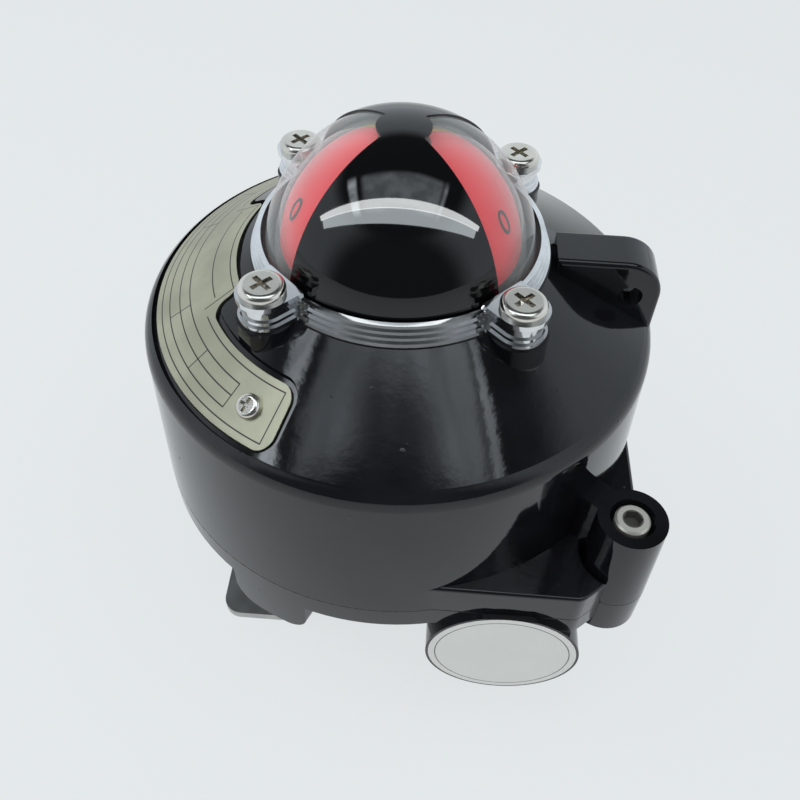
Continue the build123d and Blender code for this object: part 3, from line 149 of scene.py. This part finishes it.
def newMaterial(name):
    material = bpy.data.materials.new(name)
    material.use_nodes = True
    tree = material.node_tree
    tree.nodes.clear()
    return material, Shade(tree)


def finishMaterial(shade, shader):
    output = shade.tree.nodes.new("ShaderNodeOutputMaterial")
    shade.tree.links.new(shader.socket, output.inputs["Surface"])


def place(shade):
    return shade.make("ShaderNodeTexCoord", output=3)


def noise(shade, where, scale, detail=2.0, roughness=0.5):
    return shade.make(
        "ShaderNodeTexNoise",
        inputs={"Vector": where, "Scale": scale, "Detail": detail, "Roughness": roughness},
    )


def stretched(shade, where, scale):
    return shade.make("ShaderNodeMapping", inputs={"Vector": where, "Scale": scale})


def bump(shade, height, strength, distance, under=None):
    inputs = {"Height": height, "Strength": strength, "Distance": distance}
    if under is not None:
        inputs["Normal"] = under
    return shade.make("ShaderNodeBump", inputs=inputs)


def blotched(pattern, darker, lighter):
    # a soft change of tone between two colours
    return pattern.step(0.3, 0.7).mix(darker, lighter)


def distance(first, second):
    return first.calculate("SQRT", first * first + second * second)


def dimmed(colour, share):
    return (*(part * share for part in colour[:3]), 1)


def principled(shade, **inputs):
    named = {name.replace("_", " "): value for name, value in inputs.items()}
    return shade.make("ShaderNodeBsdfPrincipled", inputs=named)


# In every look, a scale is in cells per metre and a bump is a share of full strength.
paintLook = {
    "dark": (0.0045, 0.0045, 0.0052, 1),
    "light": (0.009, 0.009, 0.011, 1),
    "jointColour": (0.001, 0.001, 0.001, 1),
    "roughness": 0.035,
    "unevenGloss": 0.06,
    "dustRoughness": 0.3,
    "jointRoughness": 0.5,
    "peelScale": 420.0,
    "peelBump": 0.05,
    "peelDepth": 0.3 * mm,
    "waveScale": 60.0,
    "speckScale": 210.0,
    "speckSize": (0.05, 0.14),
    "sparseScale": 90.0,
    "sparseness": (0.60, 0.68),
    "speckBump": 0.35,
    "speckDepth": 0.2 * mm,
    "partingHeight": 71.0 * mm,
    "partingWidth": 0.35 * mm,
}


def blackPaint(look):
    # Sprayed gloss coat: slight orange peel, a few specks of dust, uneven gloss.
    # The joint between cover and base stays dark and dull.
    material, shade = newMaterial("glossBlackPaint")
    where = place(shade)
    height = where.axes()[2]
    joint = height.near(look["partingHeight"], look["partingWidth"])
    peel = noise(shade, where, look["peelScale"], 2.0)
    waves = noise(shade, where, look["waveScale"], 3.0)
    specks = shade.make("ShaderNodeTexVoronoi", inputs={"Vector": where, "Scale": look["speckScale"]})
    speck = 1.0 - specks.step(*look["speckSize"])
    dust = speck * noise(shade, where, look["sparseScale"], 1.0).step(*look["sparseness"])
    normal = bump(shade, peel, look["peelBump"], look["peelDepth"])
    shader = principled(
        shade,
        Base_Color=joint.mix(blotched(waves, look["dark"], look["light"]), look["jointColour"]),
        Roughness=look["roughness"] + waves * look["unevenGloss"] + dust * look["dustRoughness"]
        + joint * look["jointRoughness"],
        Normal=bump(shade, dust - joint, look["speckBump"], look["speckDepth"], normal),
    )
    finishMaterial(shade, shader)
    return material


metalLook = {
    "patchScale": 140.0,
    "markScale": (2600.0, 2600.0, 300.0),  # long marks up the piece, close together round it
    "worn": 0.82,
    "markShare": 0.4,
    "bump": 0.05,
    "depth": 0.1 * mm,
}


def metal(name, colour, roughness, grain=0.0, spread=0.06):
    # Plated or turned metal: patchy gloss and, with grain, fine turning marks.
    look = metalLook
    material, shade = newMaterial(name)
    where = place(shade)
    patches = noise(shade, where, look["patchScale"], 3.0)
    marks = noise(shade, stretched(shade, where, look["markScale"]), 1.0, 2.0)
    shader = principled(
        shade,
        Base_Color=blotched(patches, dimmed(colour, look["worn"]), (*colour, 1)),
        Metallic=1.0,
        Roughness=roughness + patches * spread + marks * grain,
        Normal=bump(shade, marks * look["markShare"] + patches, look["bump"] + grain, look["depth"]),
    )
    finishMaterial(shade, shader)
    return material


boltLook = {
    "axis": (59.03 * mm, -51.14 * mm),
    "socketRadius": 2.5 * mm,
    "socketEdge": 0.1 * mm,
    "steel": (0.86, 0.83, 0.74, 1),
    # painted shade for the inside of the hexagon socket
    "shadow": (0.10, 0.095, 0.085, 1),
    "socketMetallic": 0.35,
    "headMetallic": 0.80,
    "roughness": 0.34,
    "unevenGloss": 0.08,
    "patchScale": 160.0,
}


def boltSteel(look):
    # Bright washer-faced head whose hexagon socket gets painted shade, a dark disc in its colour.
    material, shade = newMaterial("socketSteel")
    where = place(shade)
    across, along, _ = where.axes()
    reach = distance(across - look["axis"][0], along - look["axis"][1])
    outside = reach.step(look["socketRadius"] - look["socketEdge"], look["socketRadius"] + look["socketEdge"])
    patches = noise(shade, where, look["patchScale"], 3.0)
    shader = principled(
        shade,
        # the dark disc over the socket is painted shade
        Base_Color=outside.mix(look["shadow"], look["steel"]),
        Metallic=look["socketMetallic"] + outside * (look["headMetallic"] - look["socketMetallic"]),
        Roughness=look["roughness"] + patches * look["unevenGloss"],
    )
    finishMaterial(shade, shader)
    return material


plateLook = {
    "metal": (0.54, 0.52, 0.39, 1),
    "print": (0.012, 0.012, 0.012, 1),
    "lineWidth": 0.28 * mm,
    # arcs: radius in mm, from and to how many degrees either side of -X
    "arcs": (
        (59.7, 0, 63.6), (49.1, 26.5, 63.6), (41.6, 0, 23.2), (57.6, 0, 51), (54.9, 0, 51),
        (52.2, 0, 51), (46.2, 0, 21.5),
    ),
    # spokes: degrees either side of -X, inner and outer radius in mm
    "spokes": (
        (63.6, 49.1, 59.7), (23.2, 41.6, 49.1), (51.0, 52.2, 57.6), (36.0, 52.2, 57.6),
        (18.0, 52.2, 57.6),
    ),
    "arcFade": 0.2,  # degrees
    "spokeFade": 0.15,  # mm
    "worn": 0.8,
    "roughness": 0.34,
    "unevenGloss": 0.06,
    "grainRoughness": 0.10,
    "grainScale": (2200.0, 260.0, 260.0),
    "patchScale": 70.0,
    "grainShare": 0.3,
    "printShare": 0.6,
    "bump": 0.12,
    "depth": 0.1 * mm,
}


def platePattern(shade, where, look):
    # A bare ruled table: fine dark rules round and across an unlettered plate.
    across, along, _ = where.axes()
    radius = distance(across, along)
    angle = abs(shade.calculate("ARCTAN2", along, across * -1.0))
    rules = None
    for arcRadius, first, last in look["arcs"]:
        rule = radius.near(arcRadius * mm, look["lineWidth"])
        rule = rule * (1.0 - angle.step(math.radians(last), math.radians(last + look["arcFade"])))
        if first:
            rule = rule * angle.step(math.radians(first - look["arcFade"]), math.radians(first))
        rules = rule if rules is None else rules.larger(rule)
    for degrees, inner, outer in look["spokes"]:
        rule = ((angle - math.radians(degrees)) * radius).near(0.0, look["lineWidth"])
        rule = rule * radius.step((inner - look["spokeFade"]) * mm, inner * mm)
        rule = rule * (1.0 - radius.step(outer * mm, (outer + look["spokeFade"]) * mm))
        rules = rules.larger(rule)
    return rules


def etchedPlate(look):
    # Brushed plate with etched and filled rules.
    material, shade = newMaterial("etchedPlate")
    where = place(shade)
    rules = platePattern(shade, where, look)
    grain = noise(shade, stretched(shade, where, look["grainScale"]), 1.0, 3.0)
    patches = noise(shade, where, look["patchScale"], 3.0)
    bare = blotched(patches, dimmed(look["metal"], look["worn"]), look["metal"])
    shader = principled(
        shade,
        Base_Color=rules.mix(bare, look["print"]),
        Metallic=1.0 - rules,
        Roughness=look["roughness"] + grain * look["grainRoughness"] + patches * look["unevenGloss"],
        Normal=bump(
            shade, grain * look["grainShare"] - rules * look["printShare"], look["bump"], look["depth"]
        ),
    )
    finishMaterial(shade, shader)
    return material


plasticLook = {"toneScale": 45.0, "worn": 0.88, "unevenGloss": 0.06, "depth": 0.1 * mm}


def plastic(name, colour, roughness, texture=0.04, scale=700.0):
    # Moulded plastic: fine surface texture and a slight change of tone.
    look = plasticLook
    material, shade = newMaterial(name)
    where = place(shade)
    surface = noise(shade, where, scale, 3.0)
    tone = noise(shade, where, look["toneScale"], 2.0)
    shader = principled(
        shade,
        Base_Color=blotched(tone, dimmed(colour, look["worn"]), (*colour, 1)),
        Roughness=roughness + tone * look["unevenGloss"],
        Normal=bump(shade, surface, texture, look["depth"]),
    )
    finishMaterial(shade, shader)
    return material


clearLook = {
    "colour": (0.84, 0.87, 0.85, 1),
    "roughness": 0.02,
    "faceOn": 0.02,  # how much of the clear shell is seen straight on
    "edgeSheen": 0.85,  # and at its edge, where the pale colour is a painted reflection
    "hazeScale": 120.0,
    "hazeShare": 0.04,
    "hazeRoughness": 0.03,
    "hazeBump": 0.01,
    "hazeDepth": 0.1 * mm,
}


def clearPlastic(look):
    # Clear shell, thin to look through, whose pale colour shows more towards its edge as a painted
    # reflection.
    material, shade = newMaterial("clearPolycarbonate")
    where = place(shade)
    haze = noise(shade, where, look["hazeScale"], 4.0, 0.65)
    facing = shade.make("ShaderNodeLayerWeight", inputs={"Blend": 0.5}, output=1)
    edge = facing * facing * facing
    shader = principled(
        shade,
        Base_Color=look["colour"],
        Roughness=look["roughness"] + haze * look["hazeRoughness"],
        # the pale colour faded in towards the edge is a painted reflection
        Alpha=look["faceOn"] + haze * look["hazeShare"] + edge * (look["edgeSheen"] - look["faceOn"]),
        Coat_Weight=1.0,
        Coat_Roughness=look["roughness"],
        Normal=bump(shade, haze, look["hazeBump"], look["hazeDepth"]),
    )
    finishMaterial(shade, shader)
    return material


paint = blackPaint(paintLook)
chrome = metal("brightChrome", (0.80, 0.81, 0.82), 0.05, spread=0.04)
stainless = metal("turnedStainless", (0.78, 0.75, 0.68), 0.16, grain=0.015, spread=0.05)
socketSteel = boltSteel(boltLook)
sheetSteel = metal("rolledStainless", (0.56, 0.56, 0.54), 0.26, grain=0.08)
zinc = metal("zincPlate", (0.58, 0.60, 0.62), 0.28, grain=0.05)
springSteel = metal("springSteel", (0.46, 0.46, 0.47), 0.25, grain=0.05)
bronze = metal("sinteredBronze", (0.52, 0.34, 0.15), 0.38, grain=0.1)
brass = metal("bareBrass", (0.66, 0.49, 0.20), 0.25, grain=0.05)
plateMetal = etchedPlate(plateLook)
rubber = plastic("nitrileRubber", (0.012, 0.012, 0.012), 0.6, texture=0.2)
maskBlack = plastic("glossMask", (0.003, 0.003, 0.0035), 0.01, texture=0.004, scale=90.0)
signalRed = plastic("signalRed", (0.95, 0.022, 0.038), 0.30)
signalYellow = plastic("signalYellow", (0.80, 0.50, 0.02), 0.32)
nylonBlack = plastic("blackNylon", (0.015, 0.015, 0.016), 0.42, texture=0.1)
camRed = plastic("camRed", (0.55, 0.03, 0.03), 0.38, texture=0.08)
camGreen = plastic("camGreen", (0.03, 0.26, 0.08), 0.38, texture=0.08)
switchBlack = plastic("phenolicBlack", (0.03, 0.03, 0.034), 0.5, texture=0.15)
plungerRed = plastic("plungerRed", (0.5, 0.05, 0.04), 0.4)
terminalGrey = plastic("terminalGrey", (0.30, 0.31, 0.28), 0.5, texture=0.12)
clear = clearPlastic(clearLook)

finishOf = {
    paint: ("base", "cover"),
    chrome: ("retaining_ring",),
    stainless: (
        "ring_screws", "nameplate_screws", "cover_bolts", "bracket_screws", "main_shaft",
        "indicator_shaft", "external_earth_screw", "shaft_circlip", "thrust_washer",
    ),
    sheetSteel: ("bracket",),
    zinc: (
        "internal_earth_screw", "plate_screws", "switch_screws", "rotor_screw", "terminal_screws",
        "mounting_plate",
    ),
    springSteel: ("cam_spring", "lever_lower", "lever_upper", "roller_lower", "roller_upper"),
    bronze: ("base_bush", "cover_bush"),
    rubber: ("cover_oring", "shaft_oring", "dome_gasket"),
    clear: ("dome_clear",),
    maskBlack: ("dome_mask",),
    socketSteel: ("corner_bolt",),
    signalRed: ("rotor_red",),
    signalYellow: ("rotor_yellow",),
    nylonBlack: ("rotor_carrier", "rotor_cap", "cam_hub", "cam_cap"),
    camRed: ("cam_lower",),
    camGreen: ("cam_upper",),
    plateMetal: ("nameplate",),
    switchBlack: ("switch_lower", "switch_upper", "switch_spacer"),
    plungerRed: ("plunger_lower", "plunger_upper"),
    brass: ("switch_tabs_lower", "switch_tabs_upper"),
    terminalGrey: ("terminal_block",),
}
for material, names in finishOf.items():
    for name in names:
        for slot in nodes[name].material_slots:
            slot.material = material
print("finishes given")


def addPiece(name, mesh, material, body):
    piece = bpy.data.objects.new(name, mesh)
    bpy.context.collection.objects.link(piece)
    mesh.materials.clear()
    mesh.materials.append(material)
    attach(piece, body)
    return piece


conduitAside = 33.0 * mm
conduitReach = 66.5 * mm
conduitHeight = 52.0 * mm
labelLook = {
    "centre": (conduitAside, -conduitReach, conduitHeight),
    "radius": 19.3 * mm,
    "thickness": 0.08 * mm,
    "sides": 96,
    "ringRadius": 17.5 * mm,
    "ringWidth": 0.25 * mm,
    "paper": (0.92, 0.89, 0.83, 1),
    "ink": (0.05, 0.05, 0.05, 1),
    "worn": 0.93,
    "roughness": 0.42,
    "fibreScale": 900.0,
    "fibreRoughness": 0.15,
    "fibreBump": 0.06,
    "fibreDepth": 0.05 * mm,
    "toneScale": 80.0,
}


def labelPaper(look):
    # Matt printed film with one fine ring near its edge and nothing on it.
    material, shade = newMaterial("labelPaper")
    where = place(shade)
    across, _, up = where.axes()
    reach = distance(across - look["centre"][0], up - look["centre"][2])
    ring = reach.near(look["ringRadius"], look["ringWidth"])
    fibre = noise(shade, where, look["fibreScale"], 3.0)
    tone = noise(shade, where, look["toneScale"], 2.0)
    paper = tone.mix(dimmed(look["paper"], look["worn"]), look["paper"])
    shader = principled(
        shade,
        Base_Color=ring.mix(paper, look["ink"]),
        Roughness=look["roughness"] + fibre * look["fibreRoughness"],
        Normal=bump(shade, fibre, look["fibreBump"], look["fibreDepth"]),
    )
    finishMaterial(shade, shader)
    return material


def conduitLabel(look):
    # Thin round film on the front conduit entry's face.
    shape = bmesh.new()
    bmesh.ops.create_circle(shape, cap_ends=True, radius=look["radius"], segments=look["sides"])
    raised = bmesh.ops.extrude_face_region(shape, geom=shape.faces[:])
    bmesh.ops.translate(
        shape,
        vec=(0, 0, look["thickness"]),
        verts=[part for part in raised["geom"] if isinstance(part, bmesh.types.BMVert)],
    )
    bmesh.ops.transform(
        shape,
        matrix=Matrix.Translation(look["centre"]) @ Matrix.Rotation(math.radians(90), 4, "X"),
        verts=shape.verts,
    )
    bmesh.ops.recalc_face_normals(shape, faces=shape.faces)
    mesh = bpy.data.meshes.new("conduitLabel")
    shape.to_mesh(mesh)
    shape.free()
    addPiece("conduitLabel", mesh, labelPaper(look), "housing")


conduitLabel(labelLook)

dialLook = {
    "height": 6.2 * mm,
    "sizePerHeight": 1.38,  # the font's size for a number of height 1
    "weld": 0.001 * mm,
    "longestEdge": 1.2 * mm,
    "elevation": 31.0,  # degrees above the dome's centre
    "aside": 20.0,  # degrees to either side of a window's middle
    "sphereCentre": 131.5 * mm,
    "sphereRadius": 29.46 * mm,
    "thickness": 0.06 * mm,
    # numbers and the azimuths of their quadrants when the shaft is at rest
    "numbers": (("0", (0, 180)), ("90", (90, 270))),
}


def dialNumber(text, azimuth, look):
    # A flat number laid on the rotor's sphere, upright for someone beside it.
    font = bpy.data.curves.new("dialText", "FONT")
    font.body = text
    font.size = look["height"] * look["sizePerHeight"]
    font.align_x = "CENTER"
    font.align_y = "CENTER"
    font.resolution_u = 6
    flat = bpy.data.objects.new("dialText", font)
    bpy.context.collection.objects.link(flat)
    bpy.context.view_layer.update()
    mesh = bpy.data.meshes.new_from_object(flat.evaluated_get(bpy.context.evaluated_depsgraph_get()))
    bpy.data.objects.remove(flat)
    shape = bmesh.new()
    shape.from_mesh(mesh)
    bmesh.ops.remove_doubles(shape, verts=shape.verts, dist=look["weld"])
    longEdges = [edge for edge in shape.edges if edge.calc_length() > look["longestEdge"]]
    bmesh.ops.subdivide_edges(shape, edges=longEdges, cuts=3)
    bmesh.ops.triangulate(shape, faces=shape.faces)
    around, above = math.radians(azimuth), math.radians(look["elevation"])
    level = math.cos(above)
    outward = Vector((level * math.cos(around), level * math.sin(around), math.sin(above)))
    sideways = Vector((-math.sin(around), math.cos(around), 0))
    upwards = outward.cross(sideways)
    for vertex in shape.verts:
        aim = outward * look["sphereRadius"] + sideways * vertex.co.x + upwards * vertex.co.y
        vertex.co = aim.normalized() * look["sphereRadius"]
    raised = bmesh.ops.extrude_face_region(shape, geom=shape.faces[:])
    for part in raised["geom"]:
        if isinstance(part, bmesh.types.BMVert):
            part.co += part.co.normalized() * look["thickness"]
    bmesh.ops.translate(shape, vec=(0, 0, look["sphereCentre"]), verts=shape.verts)
    bmesh.ops.recalc_face_normals(shape, faces=shape.faces)
    shape.to_mesh(mesh)
    shape.free()
    return mesh


def dialNumbers(look):
    # Each number stands on both quadrants of its colour, twice on each.
    ink = plastic("printedBlack", (0.02, 0.012, 0.012), 0.45)
    for text, azimuths in look["numbers"]:
        joined = bmesh.new()
        for azimuth in azimuths:
            for side in (-1, 1):
                joined.from_mesh(dialNumber(text, azimuth + side * look["aside"], look))
        mesh = bpy.data.meshes.new("dialNumbers" + text)
        joined.to_mesh(mesh)
        joined.free()
        addPiece("dialNumbers" + text, mesh, ink, "shaft")


dialNumbers(dialLook)

threadLook = {
    "boreRadius": 12.6 * mm,
    "ridge": 0.75 * mm,
    "pitch": 1.81 * mm,
    "length": 24.0 * mm,
    "start": 2.6 * mm,  # depth of the first turn behind the boss face
    "stepsPerTurn": 48,
    "ridgeSides": 4,
}


def threadTree(look, material):
    # Inputs: bore radius, ridge, pitch and length; result: one helical ridge along +Z.
    tree = bpy.data.node_groups.new("conduitThread", "GeometryNodeTree")
    face = tree.interface
    face.new_socket("Geometry", in_out="OUTPUT", socket_type="NodeSocketGeometry")
    sizes = {}
    for name in ("Bore radius", "Ridge", "Pitch", "Length"):
        sizes[name] = face.new_socket(name, in_out="INPUT", socket_type="NodeSocketFloat").identifier
    start = tree.nodes.new("NodeGroupInput")
    finish = tree.nodes.new("NodeGroupOutput")
    turns = tree.nodes.new("ShaderNodeMath")
    turns.operation = "DIVIDE"
    tree.links.new(start.outputs["Length"], turns.inputs[0])
    tree.links.new(start.outputs["Pitch"], turns.inputs[1])
    spiral = tree.nodes.new("GeometryNodeCurveSpiral")
    spiral.inputs["Resolution"].default_value = look["stepsPerTurn"]
    tree.links.new(turns.outputs[0], spiral.inputs["Rotations"])
    for end in ("Start Radius", "End Radius"):
        tree.links.new(start.outputs["Bore radius"], spiral.inputs[end])
    tree.links.new(start.outputs["Length"], spiral.inputs["Height"])
    profile = tree.nodes.new("GeometryNodeCurvePrimitiveCircle")
    profile.inputs["Resolution"].default_value = look["ridgeSides"]
    tree.links.new(start.outputs["Ridge"], profile.inputs["Radius"])
    sweep = tree.nodes.new("GeometryNodeCurveToMesh")
    sweep.inputs["Fill Caps"].default_value = True
    tree.links.new(spiral.outputs["Curve"], sweep.inputs["Curve"])
    tree.links.new(profile.outputs["Curve"], sweep.inputs["Profile Curve"])
    real = tree.nodes.new("GeometryNodeRealizeInstances")
    tree.links.new(sweep.outputs["Mesh"], real.inputs["Geometry"])
    painted = tree.nodes.new("GeometryNodeSetMaterial")
    painted.inputs["Material"].default_value = material
    tree.links.new(real.outputs["Geometry"], painted.inputs["Geometry"])
    tree.links.new(painted.outputs["Geometry"], finish.inputs["Geometry"])
    return tree, sizes


def conduitThreads(look, material):
    # One thread, laid into the front and the side entry.
    tree, sizes = threadTree(look, material)
    values = {
        "Bore radius": look["boreRadius"],
        "Ridge": look["ridge"],
        "Pitch": look["pitch"],
        "Length": look["length"],
    }
    joined = bmesh.new()
    carrier = bpy.data.objects.new("threadCarrier", bpy.data.meshes.new("threadCarrier"))
    bpy.context.collection.objects.link(carrier)
    modifier = carrier.modifiers.new("thread", "NODES")
    modifier.node_group = tree
    for name, value in values.items():
        modifier[sizes[name]] = value
    bpy.context.view_layer.update()
    ridge = bpy.data.meshes.new_from_object(carrier.evaluated_get(bpy.context.evaluated_depsgraph_get()))
    carrier.modifiers.remove(modifier)
    bpy.data.objects.remove(carrier)
    inner = conduitReach - look["start"] - look["length"]
    frontPlace = Matrix.Translation((conduitAside, -inner, conduitHeight))
    sidePlace = Matrix.Translation((inner, -conduitAside, conduitHeight))
    quarterTurn = math.radians(90)
    front = frontPlace @ Matrix.Rotation(quarterTurn, 4, "X")
    side = sidePlace @ Matrix.Rotation(quarterTurn, 4, "Y")
    for stand in (front, side):
        copy = ridge.copy()
        copy.transform(stand)
        joined.from_mesh(copy)
    bmesh.ops.recalc_face_normals(joined, faces=joined.faces)
    mesh = bpy.data.meshes.new("conduitThreads")
    joined.to_mesh(mesh)
    joined.free()
    addPiece("conduitThreads", mesh, material, "housing")


conduitThreads(threadLook, paint)
print("pieces added")

stageLook = {
    "floorColour": (0.80, 0.83, 0.84),
    "floorSize": 6.0,
    "floorSeen": 0.85,  # share of the floor's own brightness that the camera sees
    "floorMirrored": 0.66,  # and that gloss and glass show
    "roomColour": (0.85, 0.93, 1.0),
    "roomLevel": 0.42,
    "seenLevel": 0.86,
    # what gloss shows of the room
    "wallLevel": 0.90,
    "openSideLevel": 0.10,  # towards -Y, where the room is dark
    "ceilingLevel": 0.07,
    "openSideEdge": (0.40, 0.75),
    "ceilingEdge": (0.60, 0.76),
    "cloudScale": 5.0,
    # the ceiling light: where each part starts and ends and how soft its edge is,
    # in how far aside (X) or along (Y) it lies for each unit of height
    "panelAcross": (-0.54, 0.55, 0.05),
    "panelAlong": (-0.47, 0.12, 0.05),
    "panelLevel": 2.1,
    "panelDimmest": 0.55,
    "panelClouds": 0.6,
    "shadowMiddle": 0.03,
    "shadowEdge": (0.10, 0.38),
    "shadowAlong": (-0.60, -0.36, 0.06),
    "shadowDepth": 0.85,
    "leftStrip": (-0.80, -0.64, 0.03),
    "leftStripLevel": 6.0,
    "rightStrip": (0.58, 0.64, 0.02),
    "rightStripLevel": 3.0,
    "stripAlong": (-0.48, 0.10, 0.10),
    "stripDimmest": 0.4,
}
lampAim = Vector((0, -0.03, 0.08))
lampLook = {
    # name: place in m, width and depth in m, power in watts, colour, lights the object, shows in gloss
    "panel": ((0.0, -0.32, 1.12), (1.7, 0.85), 8.0, (0.95, 0.98, 1.0), True, False),
    "window": ((-1.0, 0.15, 0.5), (0.5, 0.7), 2.0, (0.96, 0.99, 1.0), True, False),
    "nearCard": ((0.0, -0.088, 0.36), (0.9, 0.032), 1.2, (0.97, 1.0, 1.0), False, True),
    "farCard": ((0.0, -0.132, 0.36), (0.9, 0.056), 1.25, (0.88, 0.96, 1.0), False, True),
}


def showInDome(names):
    # Light strips that are mirrored by the dome and its mask alone.
    group = bpy.data.collections.new("domePieces")
    for piece in bpy.data.objects:
        if any(slot.material in (clear, maskBlack) for slot in piece.material_slots):
            group.objects.link(piece)
    for name in names:
        bpy.data.objects[name].light_linking.receiver_collection = group


def floorMaterial(look):
    material, shade = newMaterial("paleFloor")
    camera = shade.make("ShaderNodeLightPath", output=0)
    glossy = shade.make("ShaderNodeLightPath", output=3)
    clearRay = shade.make("ShaderNodeLightPath", output=6)
    seen = (camera * look["floorSeen"]).larger(glossy.larger(clearRay) * look["floorMirrored"])
    diffuse = shade.make("ShaderNodeBsdfDiffuse", inputs={"Color": (*look["floorColour"], 1)})
    glow = shade.make("ShaderNodeEmission", inputs={"Color": (*look["floorColour"], 1), "Strength": 1.0})
    shader = shade.make("ShaderNodeMixShader", inputs={0: seen, 1: diffuse, 2: glow})
    finishMaterial(shade, shader)
    return material


def between(value, low, high, soft):
    return value.step(low - soft, low + soft) * (1.0 - value.step(high - soft, high + soft))


def lightRoom(look):
    # Even light for matt surfaces. Gloss shows pale walls, a dark side towards -Y
    # and a broad ceiling light with a dim middle and a bright strip at each end.
    world = bpy.data.worlds.new("room")
    bpy.context.scene.world = world
    world.use_nodes = True
    background = world.node_tree.nodes["Background"]
    shade = Shade(world.node_tree)
    direction = shade.make("ShaderNodeTexCoord", output=0)
    across, along, up = direction.axes()
    openSide = (along * -1.0).step(*look["openSideEdge"])
    walls = look["wallLevel"] - openSide * (look["wallLevel"] - look["openSideLevel"])
    room = walls + up.step(*look["ceilingEdge"]) * (look["ceilingLevel"] - walls)
    height = up.larger(0.05)
    sideways = shade.calculate("DIVIDE", across, height)
    forwards = shade.calculate("DIVIDE", along, height)
    clouds = noise(shade, direction, look["cloudScale"], 3.0).step(0.25, 0.75)
    middle = 1.0 - abs(sideways - look["shadowMiddle"]).step(*look["shadowEdge"])
    shadow = middle * between(forwards, *look["shadowAlong"])
    panel = between(sideways, *look["panelAcross"]) * between(forwards, *look["panelAlong"])
    panel = panel * (look["panelDimmest"] + clouds * look["panelClouds"])
    panel = panel * (1.0 - shadow * look["shadowDepth"]) * look["panelLevel"]
    leftStrip = between(sideways, *look["leftStrip"]) * look["leftStripLevel"]
    rightStrip = between(sideways, *look["rightStrip"]) * look["rightStripLevel"]
    strips = (leftStrip + rightStrip) * between(forwards, *look["stripAlong"])
    mirrored = room + panel + strips * (look["stripDimmest"] + clouds)
    glossy = shade.make("ShaderNodeLightPath", output=3)
    camera = shade.make("ShaderNodeLightPath", output=0)
    level = look["roomLevel"] + glossy * (mirrored - look["roomLevel"])
    level = level + camera * (look["seenLevel"] - level)
    background.inputs["Color"].default_value = (*look["roomColour"], 1)
    shade.tree.links.new(level.socket, background.inputs["Strength"])


def setStage(look):
    mesh = bpy.data.meshes.new("floor")
    half = look["floorSize"] / 2
    corners = [(-half, -half, 0), (half, -half, 0), (half, half, 0), (-half, half, 0)]
    mesh.from_pydata(corners, [], [(0, 1, 2, 3)])
    floor = bpy.data.objects.new("floor", mesh)
    bpy.context.collection.objects.link(floor)
    mesh.materials.append(floorMaterial(look))
    lightRoom(look)


def setLamps(lamps):
    for name, (spot, (width, depth), power, colour, lights, mirrored) in lamps.items():
        lampData = bpy.data.lights.new(name, "AREA")
        lampData.shape = "RECTANGLE"
        lampData.size = width
        lampData.size_y = depth
        lampData.energy = power
        lampData.color = colour
        lamp = bpy.data.objects.new(name, lampData)
        aim = (lampAim - Vector(spot)).to_track_quat("-Z", "Y")
        lamp.matrix_world = Matrix.Translation(spot) @ aim.to_matrix().to_4x4()
        lamp.visible_camera = False
        lamp.visible_diffuse = lights
        lamp.visible_glossy = mirrored
        bpy.context.collection.objects.link(lamp)


setStage(stageLook)
setLamps(lampLook)
showInDome(("nearCard", "farCard"))
bpy.context.scene.view_settings.view_transform = "Standard"
print("stage set")
